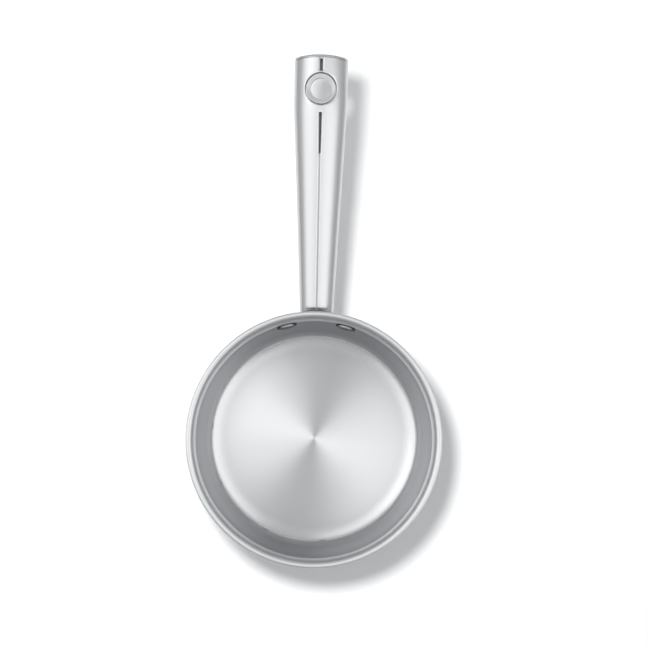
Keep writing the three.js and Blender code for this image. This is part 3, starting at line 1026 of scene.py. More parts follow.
@dataclass
class HandleShell:
    """Sheet rolled to a tube, with its seam on top, two slits, the hanging hole and the root's arch."""

    root_clearance: float = 0.3
    notch_half_width: float = 9.4
    notch_depth: float = 3.8
    notch_reach: float = 8.3
    seam_depth: float = 0.5
    seam_half_width: float = 1.1
    seam_fade: float = 1.6
    slit_width: float = 1.6
    slit_tip_width: float = 0.9
    slit_start: float = 35.6
    slit_length: float = 27.0
    end_slit_width: float = 1.7
    end_slit_length: float = 8.6
    slit_room: float = 5.0
    hole_radius: float = 10.35
    hole_edge: float = 0.7
    edge_steps: int = 4
    root_edge: float = 1.0
    block_columns: int = 15
    block_rows: int = 13
    block_before: float = 12.5
    block_after: float = 11.2
    hole_rings: tuple[float, ...] = (0.35, 0.7, 1.0)
    root_run: float = 24.0
    root_edge_rows: tuple[float, ...] = (0.0, 0.08, 0.25, 0.5, 0.75, 1.0)
    root_rows: tuple[float, ...] = (0.1, 0.25, 0.45, 0.7, 1.0)
    plain_rows: int = 11
    plain_step: float = 6.0
    tip_rows: tuple[float, ...] = (-2.5, 0.0, 0.5, 1.5)
    tip_run: float = 0.5
    slit_rows: int = 9
    slit_rest: float = 2.5
    round_steps: int = 6
    bridge_rows: tuple[float, ...] = (0.3, 0.6)
    end_rows: tuple[float, ...] = (0.8, 0.6, 0.4, 0.2, 0.05, 0.02, 0.0)

    finish: MetalFinish = MetalFinish(
        "brushed_handle_steel", (0.63, 0.63, 0.632), 0.29, Grain.BRUSHED, 2600.0,
        anisotropy=0.6, contrast=0.03, lean=FORM.lean,
    )

    def build(self) -> None:
        """Builds and dresses the shell."""
        skin = Skin()
        self.angles = FORM.angles()
        self.rows = self._stations()
        outer = self._layer(skin, 0.0)
        inner = self._layer(skin, FORM.sheet)
        self._close(skin, outer, inner)
        place_piece(skin.mesh("handle_tube"), (self.finish,), "handle_shell")

    @property
    def _slit_end(self) -> float:
        """Station of the long slit's wide end."""
        return FORM.length - self.slit_start

    @property
    def _end_slit(self) -> float:
        """Station where the end slit starts."""
        return FORM.length - self.end_slit_length

    @property
    def _slit_tip(self) -> float:
        """Station of the long slit's narrow end."""
        return self._slit_end - self.slit_length

    @property
    def _block(self) -> Point2:
        """Stations between which the hanging hole's patch lies."""
        return FORM.sleeve_station - self.block_before, FORM.sleeve_station + self.block_after

    def _stations(self) -> list[float]:
        """Gives the stations of all rows beyond the root, crowded where the slits end.

        Returns:
            Stations in rising order.
        """
        rows = [self.root_run + self.plain_step * i for i in range(1, self.plain_rows + 1)]
        rows += [self._slit_tip + past for past in self.tip_rows]
        first, last = rows[-1], self._slit_end - self.slit_rest
        rows += [first + (last - first) * i / self.slit_rows for i in range(1, self.slit_rows + 1)]
        rows += [self._slit_end - short for short, _ in rounding(self.slit_width / 2, self.round_steps)]
        start, stop = self._block
        rows += [self._slit_end + (start - self._slit_end) * share for share in self.bridge_rows]
        rows += [start + (stop - start) * i / self.block_rows for i in range(self.block_rows + 1)]
        end_round = self.end_slit_width / 2
        rows += [self._end_slit + past for _, past in rounding(end_round, self.round_steps)]
        run = FORM.length - self._end_slit - end_round
        return rows + [FORM.length - run * share for share in self.end_rows]

    def _half_gap(self, station: float) -> float:
        """Gives half the width of the slit at a station, 0 where the sheet is closed.

        Args:
            station: Way along the handle.

        Returns:
            Half the width of the long slit or of the end slit.
        """
        round_end = self.slit_width / 2
        if self._slit_tip < station < self._slit_end:
            past = station - self._slit_tip
            share = min(past / (self.slit_length - round_end), 1.0)
            tip_half = self.slit_tip_width / 2
            open_half = tip_half + (round_end - tip_half) * share
            over = max(station - self._slit_end + round_end, 0.0)
            rounded = math.sqrt(max(round_end**2 - over**2, 0.0))
            return min(past / self.tip_run, 1.0) * min(open_half, rounded)
        if station > self._end_slit:
            end_round = self.end_slit_width / 2
            short = max(self._end_slit + end_round - station, 0.0)
            return math.sqrt(max(end_round**2 - short**2, 0.0))
        return 0.0

    def _seam(self, station: float) -> float:
        """Gives the depth of the rounded seam at a station; it is welded flush around the hole.

        Args:
            station: Way along the handle.

        Returns:
            The depth.
        """
        fade_out = (station - self._slit_end) / self.seam_fade
        fade_in = (station - self._end_slit + self.hole_edge) / self.hole_edge
        share = max(1.0 - max(fade_out, 0.0), min(fade_in, 1.0), 0.0)
        return self.seam_depth * share

    def _point(self, skin: Skin, spot: Point2, angle: float, inset: float, side: Side) -> int:
        """Adds a point of the outer or inner face.

        Args:
            skin: The skin that it is added to.
            spot: Way along the handle, and how far the face is rounded off there.
            angle: Angle around the section from the top.
            inset: Depth of the face below the outer one.
            side: Which edge of the sheet a point on the seam belongs to.

        Returns:
            Index of the point.
        """
        station, drop = spot
        x, z = FORM.section(station, angle, inset + drop)
        if math.cos(angle) > 0 and abs(x) < self.slit_room:
            gap = self._half_gap(station)
            apart = gap + abs(x) * (1 - gap / self.slit_room)
            x = math.copysign(apart, side.value if abs(x) < TINY else x)
            z = FORM.rise(station, x, inset + drop)
            if inset < TINY:
                away = max(1 - (abs(x) - gap) / self.seam_half_width, 0.0)
                z -= self._seam(station) * away * away
        return skin.point(FORM.place(station, x, z), angle / FULL_TURN, station / MAP_UNIT)

    def _root_rows(self, angle: float, inset: float) -> list[Point2]:
        """Gives the first stations of a line along the handle, from the cope or the arch on.

        Args:
            angle: Angle of the line around the section.
            inset: Depth of the face below the outer one.

        Returns:
            Station and rounding of each row.
        """
        start = FORM.cope(angle, inset, LEVELS.saddle_outside + self.root_clearance)
        x = FORM.section(start, angle, inset)[0]
        if math.cos(angle) > 0 and abs(x) < self.notch_half_width:
            arch = self.notch_depth * (math.sqrt(1 - (x / self.notch_half_width) ** 2) - 1)
            start = max(start, self.notch_reach + arch)
        rows = []
        for share in self.root_edge_rows:
            drop = self.root_edge * (1 - math.sqrt(1 - (1 - share) ** 2))
            rows.append((start + self.root_edge * share, drop if inset < TINY else 0.0))
        rest = self.root_run - start - self.root_edge
        return rows + [(start + self.root_edge + rest * share, 0.0) for share in self.root_rows]

    def _layer(self, skin: Skin, inset: float) -> SheetFace:
        """Builds the outer or inner face of the sheet.

        Args:
            skin: The skin that it is added to.
            inset: Depth below the outer face.

        Returns:
            The face, with the left twins of the seam's points and the edges of the hanging hole.
        """
        face = SheetFace()
        beyond = [(station, 0.0) for station in self.rows]
        lines = [self._root_rows(angle, inset) + beyond for angle in self.angles]
        skip = len(lines[0]) - len(beyond)
        for i in range(len(lines[0])):
            row: list[Optional[int]] = []
            twin = None
            for j, angle in enumerate(self.angles):
                spot = lines[j][i]
                if self._within_block(i - skip, j):
                    row.append(None)
                    continue
                row.append(self._point(skin, spot, angle, inset, Side.RIGHT))
                if j == 0 and self._half_gap(spot[0]) > TINY:
                    twin = self._point(skin, spot, angle, inset, Side.LEFT)
            face.grid.append(row)
            face.twins.append(twin if twin is not None else row[0])
        for i in range(len(face.grid) - 1):
            for j in range(len(self.angles)):
                if not self._cell_in_block(i - skip, j):
                    near, far = face.grid[i][j], face.grid[i + 1][j]
                    skin.face((near, face.after(i, j), face.after(i + 1, j), far))
        face.holes = [self._hole(skin, face, inset, top) for top in (True, False)]
        return face

    def _block_span(self) -> tuple[int, int]:
        """Gives the first and last of the rows beyond the root that bound the hole's patch.

        Returns:
            Their numbers among those rows.
        """
        start, stop = self._block
        first = min(range(len(self.rows)), key=lambda i: abs(self.rows[i] - start))
        last = min(range(len(self.rows)), key=lambda i: abs(self.rows[i] - stop))
        return first, last

    def _from_middle(self, j: int) -> int:
        """Gives how many columns lie between a column and the nearest of top and bottom."""
        half = len(self.angles) // 2
        return min(j % half, half - j % half)

    def _within_block(self, i: int, j: int) -> bool:
        """Tells whether a point of the grid gives way to the hole's patch."""
        first, last = self._block_span()
        return first < i < last and self._from_middle(j) < self.block_columns

    def _cell_in_block(self, i: int, j: int) -> bool:
        """Tells whether a face of the grid gives way to the hole's patch.

        Args:
            i: Row of its first corner, counted beyond the root.
            j: Column of that corner.

        Returns:
            Whether it does.
        """
        first, last = self._block_span()
        inside = max(self._from_middle(j), self._from_middle(j + 1)) <= self.block_columns
        return first <= i < last and inside

    def _hole(self, skin: Skin, face: SheetFace, inset: float, top: bool) -> list[int]:
        """Fills the patch around the hanging hole and rounds its edge.

        Args:
            skin: The skin that it is added to.
            face: The face that has the hole.
            inset: Depth of that face below the outer one.
            top: Whether it is the upper hole.

        Returns:
            The loop of points at the hole's edge.
        """
        first, last = self._block_span()
        skip = len(face.grid) - len(self.rows)
        middle = 0 if top else len(self.angles) // 2
        reach = self.block_columns
        spots = [(first, j) for j in range(-reach, reach + 1)]
        spots += [(i, reach) for i in range(first + 1, last + 1)]
        spots += [(last, j) for j in range(reach - 1, -reach - 1, -1)]
        spots += [(i, -reach) for i in range(last - 1, first, -1)]
        spots = [(i, (middle + j) % len(self.angles)) for i, j in spots]
        loop = [face.grid[i + skip][j] for i, j in spots]
        flat = [(FORM.section(self.rows[i], self.angles[j], inset)[0], self.rows[i]) for i, j in spots]
        edge = self.hole_edge if inset < TINY else 0.0
        rings = [(share, edge, 0.0) for share in self.hole_rings]
        if edge:
            rings += [(1.0, wide, drop) for wide, drop in rounding(edge, self.edge_steps)[1:]]
        for share, wide, drop in rings:
            ring = []
            for x, station in flat:
                away = Vector((x, station - FORM.sleeve_station))
                spot = away.lerp(away.normalized() * (self.hole_radius + wide), share)
                ring.append(self._patch_point(skin, spot, inset, drop, top))
            skin.bridge(loop, ring)
            loop = ring
        return loop

    @staticmethod
    def _patch_point(skin: Skin, spot: Vector, inset: float, drop: float, top: bool) -> int:
        """Adds a point of the patch around the hanging hole.

        Args:
            skin: The skin that it is added to.
            spot: Place across and along, from the hole's axis.
            inset: Depth of the face below the outer one.
            drop: How far the hole's edge is rounded off there.
            top: Whether it is the upper hole.

        Returns:
            Index of the point.
        """
        station = FORM.sleeve_station + spot.y
        height = FORM.rise(station, spot.x, inset) - drop
        bearing = FORM.bearing(station, spot.x, inset)
        place = FORM.place(station, spot.x, height if top else -height)
        turn = bearing if top else math.pi - bearing
        return skin.point(place, turn / FULL_TURN, station / MAP_UNIT)

    def _close(self, skin: Skin, outer: SheetFace, inner: SheetFace) -> None:
        """Joins the two faces of the sheet along every edge.

        Args:
            skin: The skin that both are in.
            outer: The outer face.
            inner: The inner face.
        """
        for one, two in zip(outer.holes, inner.holes):
            skin.bridge(one, two)
        skin.bridge(outer.grid[0], inner.grid[0])
        last = len(outer.grid) - 1
        for j in range(len(self.angles)):
            skin.face((outer.grid[last][j], outer.after(last, j), inner.after(last, j), inner.grid[last][j]))
        right = [[row[0] for row in face.grid] for face in (outer, inner)]
        left = (outer.twins, inner.twins)
        for i in range(last):
            if right[0][i:i + 2] != left[0][i:i + 2]:
                for out, into in (right, left):
                    skin.face((out[i], out[i + 1], into[i + 1], into[i]))


@dataclass
class HangingSleeve:
    """Ring through the hanging hole, flush with the handle above and below."""

    radius: float = 10.0
    edge: float = 0.45
    bore: float = 6.9
    mouth: float = 2.6
    mouth_depth: float = 0.8
    bore_edge: float = 0.3
    segments: int = 96
    edge_steps: int = 4
    mouth_steps: int = 8

    finish: MetalFinish = MetalFinish(
        "polished_sleeve_steel", (0.70, 0.705, 0.71), 0.5, Grain.BLASTED, 2400.0,
        contrast=0.02, relief=5e-7, grain_roughness=0.03,
    )

    def build(self) -> None:
        """Builds and dresses the sleeve."""
        top = self._half_profile()
        loops = [(*row, 1) for row in top] + [(*row, -1) for row in reversed(top)]
        skin = Skin()
        rows = []
        for number, (radius, from_radius, drop, sign) in enumerate(loops):
            row = []
            for k in range(self.segments):
                angle = FULL_TURN * k / self.segments
                x, y = radius * math.cos(angle), radius * math.sin(angle)
                height = FORM.rise(FORM.sleeve_station, from_radius * math.cos(angle), 0.0) - drop
                place = FORM.place(FORM.sleeve_station, x, sign * height, y)
                row.append(skin.point(place, k / self.segments, number / len(loops)))
            rows.append(row)
        skin.loft([*rows, rows[0]])
        place_piece(skin.mesh("hanging_ring"), (self.finish,), "hanging_sleeve")

    def _half_profile(self) -> list[Point3]:
        """Gives the profile of the upper half, from the outside to the bore.

        Returns:
            Radius, the radius whose height on the handle counts, and the drop below that.
        """
        outside = rounding(self.edge, self.edge_steps)
        rows = [(self.radius - less, self.radius - less, drop) for drop, less in outside]
        start = self.bore + self.mouth
        cone = self.mouth - self.bore_edge
        depth = self.mouth_depth * cone / self.mouth
        shares = [k / self.mouth_steps for k in range(self.mouth_steps + 1)]
        rows += [(start - cone * share, start, depth * share) for share in shares]
        inside = rounding(self.bore_edge, self.edge_steps)[1:]
        return rows + [(self.bore + wide, start, depth + drop) for wide, drop in inside]


@dataclass
class HandleEndCap:
    """Curved plate that closes the outer end, with a plug inside the sheet."""

    plate: float = 1.7
    clearance: float = 0.3
    edge: float = 1.2
    back_edge: float = 0.2
    plug: float = 0.8
    edge_steps: int = 4
    lid_rings: int = 7

    finish: MetalFinish = MetalFinish(
        "satin_end_steel", (0.60, 0.60, 0.602), 0.30, Grain.BLASTED, 2600.0, contrast=0.03,
    )

    def build(self) -> None:
        """Builds and dresses the end cap."""
        skin = Skin()
        angles = FORM.angles()
        inside = FORM.sheet + self.clearance
        near = FORM.length + self.clearance
        far = near + self.plate
        shares = [k / self.lid_rings for k in range(self.lid_rings + 1)]
        rings = [(FORM.length - self.plug, inside, share) for share in shares]
        rings += [(near, inside, 1.0), (near, self.back_edge, 1.0), (near + self.back_edge, 0.0, 1.0)]
        rings += [(far - back, less, 1.0) for back, less in rounding(self.edge, self.edge_steps)]
        rings += [(far, self.edge, share) for share in reversed(shares[:-1])]
        rows = []
        for number, (station, inset, share) in enumerate(rings):
            row = []
            for angle in angles if share > 0 else angles[:1]:
                x, z = FORM.section(station, angle, inset)
                place = FORM.place(station, share * x, share * z)
                row.append(skin.point(place, angle / FULL_TURN, number / len(rings)))
            rows.append(row)
        skin.loft(rows)
        place_piece(skin.mesh("handle_end_plate"), (self.finish,), "handle_end_cap")


@dataclass
class Bracket:
    """Saddle on the outside of the wall, with the neck that carries the handle."""

    ear_radius: float = 9.0
    edge: float = 0.7
    back_edge: float = 0.3
    neck_length: float = 18.0
    neck_clearance: float = 0.3
    neck_edge: float = 0.6
    ear_steps: int = 12
    middle_steps: int = 20
    edge_steps: int = 4
    face_rows: int = 8
    neck_rows: int = 6

    finish: MetalFinish = MetalFinish(
        "pressed_bracket_steel", (0.57, 0.575, 0.58), 0.34, Grain.BLASTED, 1900.0, contrast=0.05, relief=6e-6,
    )

    def build(self) -> None:
        """Builds saddle and neck, joins them and dresses the result."""
        joined = join_meshes(self._saddle().mesh("saddle"), self._neck().mesh("neck"), "handle_saddle")
        place_piece(joined, (self.finish,), "handle_bracket")

    def _columns(self, inset: float) -> list[Point2]:
        """Gives the saddle's outline, half above its middle.

        Args:
            inset: How far inside the outline.

        Returns:
            Place across and half height of each column, from left to right.
        """
        ear = LEVELS.saddle_inside * math.sin(LEVELS.rivet_angle)
        radius = self.ear_radius - inset
        turns = [QUARTER_TURN * k / self.ear_steps for k in range(self.ear_steps - 1, -1, -1)]
        left = [(-ear - radius, 0.0)]
        left += [(-ear - radius * math.sin(t), radius * math.cos(t)) for t in turns]
        middle = [(ear * (2 * k / self.middle_steps - 1), radius) for k in range(1, self.middle_steps)]
        return left + middle + [(-x, half) for x, half in reversed(left)]

    @staticmethod
    def _on_wall(skin: Skin, x: float, z: float, radius: float) -> int:
        """Adds a point at a radius from the pan's axis."""
        place = Vector((x, math.sqrt(radius * radius - x * x), LEVELS.rivets + z))
        return skin.point(place, x / MAP_UNIT + HALF_MAP, z / MAP_UNIT)

    def _saddle(self) -> Skin:
        """Builds the curved plate with rounded edges.

        Returns:
            The closed skin.
        """
        skin = Skin()
        front = rounding(self.edge, self.edge_steps)
        back = rounding(self.back_edge, self.edge_steps)
        layers = [(inset, LEVELS.saddle_outside - drop) for inset, drop in front]
        layers += [(inset, LEVELS.saddle_inside + drop) for drop, inset in back]
        loops = [self._outline_loop(skin, inset, radius) for inset, radius in layers]
        skin.loft(loops)
        for end in (0, -1):
            self._face(skin, loops[end], *layers[end])
        return skin

    def _outline_loop(self, skin: Skin, inset: float, radius: float) -> list[int]:
        """Adds the saddle's outline, above from left to right and back below.

        Args:
            skin: The skin that it is added to.
            inset: How far inside the outline.
            radius: Radius from the pan's axis.

        Returns:
            Indices of its points.
        """
        columns = self._columns(inset)
        above = [self._on_wall(skin, x, half, radius) for x, half in columns]
        below = [self._on_wall(skin, x, -half, radius) for x, half in reversed(columns[1:-1])]
        return above + below

    def _face(self, skin: Skin, loop: Sequence[int], inset: float, radius: float) -> None:
        """Fills an outline with rows that follow the wall.

        Args:
            skin: The skin that it is added to.
            loop: The outline's points.
            inset: Inset of the outline.
            radius: Radius of the face.
        """
        columns = self._columns(inset)
        count = len(columns)
        above = list(loop[:count])
        below = [loop[0], *reversed(loop[count:]), loop[count - 1]]
        rows = [above]
        for r in range(1, self.face_rows):
            height = 1 - 2 * r / self.face_rows
            inner = [self._on_wall(skin, x, half * height, radius) for x, half in columns[1:-1]]
            rows.append([above[0], *inner, above[-1]])
        skin.loft([*rows, below], closed=False)

    def _neck(self) -> Skin:
        """Builds the neck from the middle of the saddle into the handle.

        Returns:
            The closed skin.
        """
        skin = Skin()
        angles = FORM.angles()
        inset = FORM.sheet + self.neck_clearance
        seat = LEVELS.saddle_inside + LEVELS.saddle_sheet / 2
        starts = [FORM.cope(angle, inset, seat) for angle in angles]
        stop = self.neck_length - self.neck_edge
        middle = FORM.place(sum(starts) / len(starts), 0.0, 0.0)
        rows = [[skin.point(middle, 0.0, 0.0)]]
        for k in range(self.neck_rows + 1):
            stations = [start + (stop - start) * k / self.neck_rows for start in starts]
            rows.append(self._neck_row(skin, angles, stations, inset))
        for back, less in rounding(self.neck_edge, self.edge_steps)[1:]:
            stations = [self.neck_length - back] * len(angles)
            rows.append(self._neck_row(skin, angles, stations, inset + less))
        rows.append([skin.point(FORM.place(self.neck_length, 0.0, 0.0), 0.0, 1.0)])
        skin.loft(rows)
        return skin

    @staticmethod
    def _neck_row(skin: Skin, angles: Sequence[float], stations: Sequence[float], inset: float) -> list[int]:
        """Adds one row of the neck.

        Args:
            skin: The skin that it is added to.
            angles: Angles around the section.
            stations: Station at each angle.
            inset: How far inside the handle's outer face.

        Returns:
            Indices of its points.
        """
        return [
            skin.point(FORM.place(s, *FORM.section(s, a, inset)), a / FULL_TURN, s / MAP_UNIT)
            for a, s in zip(angles, stations)
        ]


def join_meshes(one: bpy.types.Mesh, two: bpy.types.Mesh, name: str) -> bpy.types.Mesh:
    """Joins two closed meshes that reach into each other to one closed mesh.

    Args:
        one: The first mesh.
        two: The second mesh.
        name: Name of the result.

    Returns:
        The joined mesh; the two others are removed.
    """
    holders = [bpy.data.objects.new(mesh.name, mesh) for mesh in (one, two)]
    for holder in holders:
        bpy.context.scene.collection.objects.link(holder)
    union = holders[0].modifiers.new("join", "BOOLEAN")
    union.operation = "UNION"
    union.solver = "EXACT"
    union.object = holders[1]
    graph = bpy.context.evaluated_depsgraph_get()
    joined = bpy.data.meshes.new_from_object(holders[0].evaluated_get(graph))
    joined.name = name
    for holder, mesh in zip(holders, (one, two)):
        bpy.data.objects.remove(holder)
        bpy.data.meshes.remove(mesh)
    finish_mesh(joined)
    return joined


@dataclass
class Rivets:
    """The two rivets through wall and saddle."""

    head_radius: float = 6.8
    head_height: float = 2.3
    head_edge: float = 1.3
    head_round: float = 0.35
    shank_radius: float = 2.75
    tail_radius: float = 5.0
    tail_height: float = 2.0
    tail_edge: float = 0.5
    clearance: float = 0.3
    segments: int = 64
    dome_steps: int = 10

    # The heads' dark colour and dark grazing tint are painted shade, darker than the steel's own tone.
    finish: MetalFinish = MetalFinish(
        "rivet_steel_painted_shade", (0.30, 0.305, 0.31), 0.45, Grain.BLASTED, 2400.0,
        contrast=0.03, relief=1e-6, grain_roughness=0.03, edge_tint=(0.5, 0.51, 0.52),
    )

    def build(self) -> None:
        """Builds and dresses both rivets."""
        stand = Matrix.Translation((0.0, 0.0, LEVELS.rivets))
        lay = Matrix.Rotation(-QUARTER_TURN, 4, "X")
        for side in Side:
            aim = Matrix.Rotation(-side.value * LEVELS.rivet_angle, 4, "Z")
            label = side.name.lower()
            skin = turned(self._profile(), self.segments, stand @ aim @ lay)
            place_piece(skin.mesh(f"rivet_pin_{label}"), (self.finish,), f"rivet_{label}")

    def _dome(self, radius: float, edge: float, height: float) -> list[Point2]:
        """Gives half the outline of a low dome.

        Args:
            radius: Its radius.
            edge: Height of its straight side.
            height: Its whole height.

        Returns:
            Radius and height above the seat, from the seat to the top on the axis.
        """
        rise = height - edge
        ball = (radius**2 + rise**2) / (2 * rise)
        reach = math.asin(radius / ball)
        cap = arc((0.0, height - ball), ball, QUARTER_TURN - reach, QUARTER_TURN, self.dome_steps)
        ease = self.head_round / 4
        corner = [(radius, edge - self.head_round), (radius - ease, edge - ease)]
        inner = [p for p in cap if p[0] < radius - self.head_round]
        return [(radius, 0.0), *corner, *inner[:-1], (0.0, height)]

    def _profile(self) -> list[Row]:
        """Gives the rivet's profile along its axis, from the head inside the pan to the tail.

        Returns:
            Rows from pole to pole, all of one slot.
        """
        seat = math.sqrt(LEVELS.inner_radius**2 - self.head_radius**2) - self.clearance
        tail_seat = LEVELS.saddle_outside + self.clearance
        head = [(r, seat - h) for r, h in self._dome(self.head_radius, self.head_edge, self.head_height)]
        tail = [(r, tail_seat + h) for r, h in self._dome(self.tail_radius, self.tail_edge, self.tail_height)]
        shank = [(self.shank_radius, seat), (self.shank_radius, tail_seat)]
        return [(r, z, 0) for r, z in [*reversed(head), *shank, *tail]]


PAN_PIECES = ("bowl", "heat_disc", "base_cup", "rivet_pin_left", "rivet_pin_right")
HANDLE_PIECES = ("handle_tube", "hanging_ring", "handle_end_plate", "handle_saddle")


@dataclass(frozen=True)
class SoftBox:
    """One soft box that hangs level above the pan."""

    name: str
    across: Point2
    along: Point2
    radiance: float
    pieces: tuple[str, ...]


@dataclass
class Studio:
    """Pale floor, soft light and the camera above the pan."""

    floor_size: float = 12.0
    floor_drop: float = 0.0004
    floor_cells: int = 24
    floor_white: float = 0.86
    floor_shade: float = 0.985
    floor_fibre: float = 900.0
    floor_glow: float = 0.02
    horizon: float = 0.37
    zenith: float = 0.68
    sky_lean: float = 0.16
    sky_sides: float = 0.1
    sky_tint: Colour = (0.965, 0.985, 1.0)
    box_height: float = 1.6
    box_turn: float = math.radians(-7)
    boxes: tuple[SoftBox, ...] = (
        SoftBox("pan_box_left", (-4.5, -0.14), (-0.28, 1.1), 0.86, PAN_PIECES),
        SoftBox("pan_box_near_left", (-4.5, -0.4), (-0.9, -0.28), 0.90, PAN_PIECES),
        SoftBox("pan_box_right", (0.14, 4.5), (-0.48, 0.42), 0.86, PAN_PIECES),
        SoftBox("pan_box_near_right", (0.9, 4.5), (-1.3, -0.48), 0.86, PAN_PIECES),
        SoftBox("pan_box_far_right", (0.36, 4.5), (0.42, 1.1), 0.90, PAN_PIECES),
        SoftBox("handle_box_left", (-1.55, -0.14), (-1.4, 0.12), 0.92, HANDLE_PIECES),
        SoftBox("handle_box_right", (0.14, 1.6), (-1.4, 0.14), 0.94, HANDLE_PIECES),
    )
    card_place: Point3 = (-0.48, 0.20, 1.6)
    card_size: float = 0.45
    card_radiance: float = 0.9
    key_place: Point3 = (-0.112, 0.151, 0.95)
    key_size: float = 0.13
    key_power: float = 7.4
    camera_place: Point3 = (0.0033, 0.0116, 1.0814)
    camera_pan: float = math.radians(0.112)
    camera_tilt: float = math.radians(3.77)
    camera_roll: float = math.radians(1.16)
    lens: float = 82.7

    def build(self) -> None:
        """Sets floor, world, lamps and camera."""
        self._floor()
        self._world()
        self._key()
        for box in self.boxes:
            self._box(box)
        self._card()
        self._camera()

    def _floor(self) -> None:
        """Lays the floor just below the base."""
        skin = Skin()
        step = self.floor_size / self.floor_cells / MM
        shift = self.floor_size / 2 / MM
        rows = [
            [skin.point(Vector((i * step - shift, j * step - shift, -self.floor_drop / MM)), 0.0, 0.0)
             for i in range(self.floor_cells + 1)]
            for j in range(self.floor_cells + 1)
        ]
        skin.loft(rows, closed=False)
        mesh = skin.mesh("studio_floor")
        if mesh.polygons[0].normal.z < 0:
            mesh.flip_normals()
        mesh.materials.append(self._floor_material())
        floor = bpy.data.objects.new("studio_floor", mesh)
        bpy.context.scene.collection.objects.link(floor)

    def _floor_material(self) -> bpy.types.Material:
        """Builds a pale paper floor that keeps the shadow.

        Returns:
            A matt white that glows a little where it is seen or mirrored.
        """
        material = bpy.data.materials.new("pale_paper_floor")
        material.use_nodes = True
        tree = material.node_tree
        tree.nodes.clear()
        nodes = Nodes(tree)
        place = nodes.add("ShaderNodeTexCoord").outputs["Object"]
        fibre = nodes.add("ShaderNodeTexNoise", {"Vector": place, "Scale": self.floor_fibre})
        shade, white = self.floor_white * self.floor_shade, self.floor_white
        paper = nodes.mix(fibre.outputs[0], (shade, shade, shade, 1.0), (white, white, white, 1.0))
        matt = nodes.add("ShaderNodeBsdfDiffuse", {"Color": paper})
        path = nodes.add("ShaderNodeLightPath")
        seen = nodes.math("MAXIMUM", path.outputs["Is Camera Ray"], path.outputs["Is Glossy Ray"])
        seen = nodes.math("MAXIMUM", seen, path.outputs["Is Transmission Ray"])
        glow = nodes.add("ShaderNodeEmission", {"Strength": nodes.math("MULTIPLY", seen, self.floor_glow)})
        both = nodes.add("ShaderNodeAddShader")
        tree.links.new(matt.outputs[0], both.inputs[0])
        tree.links.new(glow.outputs[0], both.inputs[1])
        end = nodes.add("ShaderNodeOutputMaterial")
        tree.links.new(both.outputs[0], end.inputs["Surface"])
        return material

    def _world(self) -> None:
        """Fills the room with soft light, brighter overhead."""
        world = bpy.data.worlds.new("studio_room")
        world.use_nodes = True
        bpy.context.scene.world = world
        nodes = Nodes(world.node_tree)
        back = world.node_tree.nodes["Background"]
        way = nodes.add("ShaderNodeTexCoord").outputs["Generated"]
        axes = nodes.add("ShaderNodeSeparateXYZ", {"Vector": way}).outputs
        span = {"Value": axes["Z"], "To Min": self.horizon, "To Max": self.zenith}
        glow = nodes.add("ShaderNodeMapRange", span)
        low = nodes.math("SUBTRACT", 1.0, axes["Z"])
        lean = nodes.math("MULTIPLY", nodes.math("MULTIPLY", axes["Y"], low), self.sky_lean)
        back.inputs["Color"].default_value = (*self.sky_tint, 1.0)
        room = nodes.math("ADD", glow.outputs["Result"], lean)
        sides = nodes.math("MULTIPLY", nodes.math("MULTIPLY", axes["X"], axes["X"]), self.sky_sides)
        nodes.feed(nodes.math("ADD", room, sides), back.inputs["Strength"])

    def _lamp(self, name: str, size: Point2, power: float, use: LampUse) -> bpy.types.Object:
        """Makes an area lamp.

        Args:
            name: Name of the lamp.
            size: Its two sides, in metres.
            power: Its power in watts.
            use: What it is for.

        Returns:
            The lamp, at the origin and aimed down.
        """
        data = bpy.data.lights.new(name, "AREA")
        data.shape = "RECTANGLE"
        data.size, data.size_y = size
        data.energy = power
        lamp = bpy.data.objects.new(name, data)
        bpy.context.scene.collection.objects.link(lamp)
        lamp.visible_camera = False
        lamp.visible_glossy = use is LampUse.SHEEN
        lamp.visible_diffuse = use is LampUse.SHADOW
        lamp.visible_transmission = use is LampUse.SHEEN
        return lamp

    @staticmethod
    def _hang(lamp: bpy.types.Object, place: Point3) -> None:
        """Hangs a lamp at a place, aimed at the middle of the base."""
        lamp.location = place
        lamp.rotation_euler = (-lamp.location).to_track_quat("-Z", "Y").to_euler()

    def _key(self) -> None:
        """Hangs the lamp that throws the shadow, nearly overhead from the upper left."""
        lamp = self._lamp("key_lamp", (self.key_size, self.key_size), self.key_power, LampUse.SHADOW)
        lamp.data.shape = "DISK"
        self._hang(lamp, self.key_place)

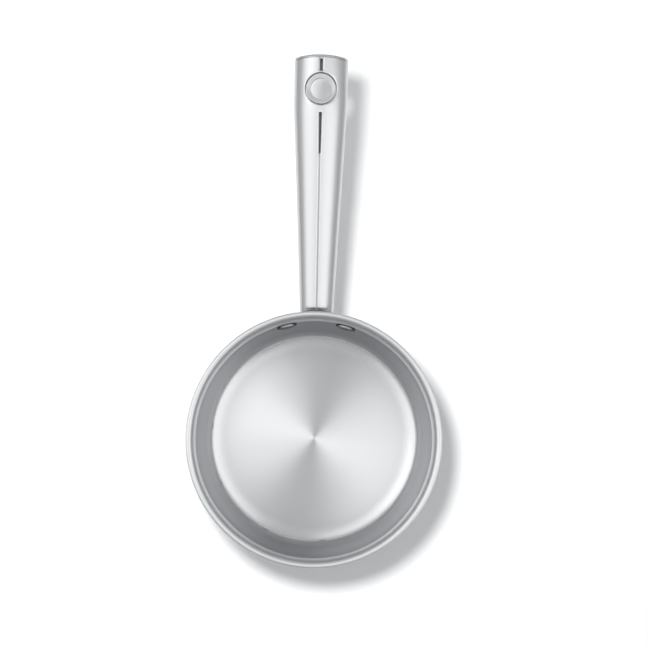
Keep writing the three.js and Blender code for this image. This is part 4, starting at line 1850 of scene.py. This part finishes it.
    def _box(self, box: SoftBox) -> None:
        """Hangs one of the soft boxes, which leave a darker gap overhead.

        Args:
            box: The soft box.
        """
        size = (box.across[1] - box.across[0], box.along[1] - box.along[0])
        power = box.radiance * math.pi * size[0] * size[1]
        lamp = self._lamp(box.name, size, power, LampUse.SHEEN)
        middle = (sum(box.across) / 2, sum(box.along) / 2, self.box_height)
        lamp.matrix_world = Matrix.Rotation(self.box_turn, 4, "Z") @ Matrix.Translation(middle)
        self._aim(lamp, box.pieces)

    @staticmethod
    def _aim(lamp: bpy.types.Object, pieces: tuple[str, ...]) -> None:
        """Lets a lamp light only some pieces, as flags beside it would.

        Args:
            lamp: The lamp.
            pieces: Names of the pieces.
        """
        lit = bpy.data.collections.new(f"lit_by_{lamp.name}")
        for name in pieces:
            lit.objects.link(bpy.data.objects[name])
        lamp.light_linking.receiver_collection = lit

    def _card(self) -> None:
        """Hangs a small bright card at the upper left, which the rounding of the floor mirrors."""
        power = self.card_radiance * math.pi * self.card_size**2
        lamp = self._lamp("bright_card", (self.card_size, self.card_size), power, LampUse.SHEEN)
        self._hang(lamp, self.card_place)

    def _camera(self) -> None:
        """Sets the camera straight above, as in the photograph."""
        data = bpy.data.cameras.new("overhead_camera")
        data.lens = self.lens
        camera = bpy.data.objects.new("overhead_camera", data)
        bpy.context.scene.collection.objects.link(camera)
        ahead = Vector((math.tan(self.camera_pan), math.tan(self.camera_tilt), -1.0)).normalized()
        right = ahead.cross(Vector((0.0, 1.0, 0.0))).normalized()
        up = right.cross(ahead)
        roll = self.camera_roll
        across = math.cos(roll) * right + math.sin(roll) * up
        over = math.cos(roll) * up - math.sin(roll) * right
        turn = Matrix((across, over, -ahead)).transposed().to_4x4()
        camera.matrix_world = Matrix.Translation(self.camera_place) @ turn
        bpy.context.scene.camera = camera
        bpy.context.scene.view_settings.view_transform = "Standard"


def main() -> None:
    """Builds the pan, its bracket and its handle, then the studio."""
    logging.basicConfig(level=logging.INFO, format="%(name)s: %(message)s")
    for assembly in (Pan(), Bracket(), Rivets(), HandleShell(), HangingSleeve(), HandleEndCap(), Studio()):
        LOG.info("building %s", type(assembly).__name__)
        assembly.build()


if __name__ == "__main__":
    main()
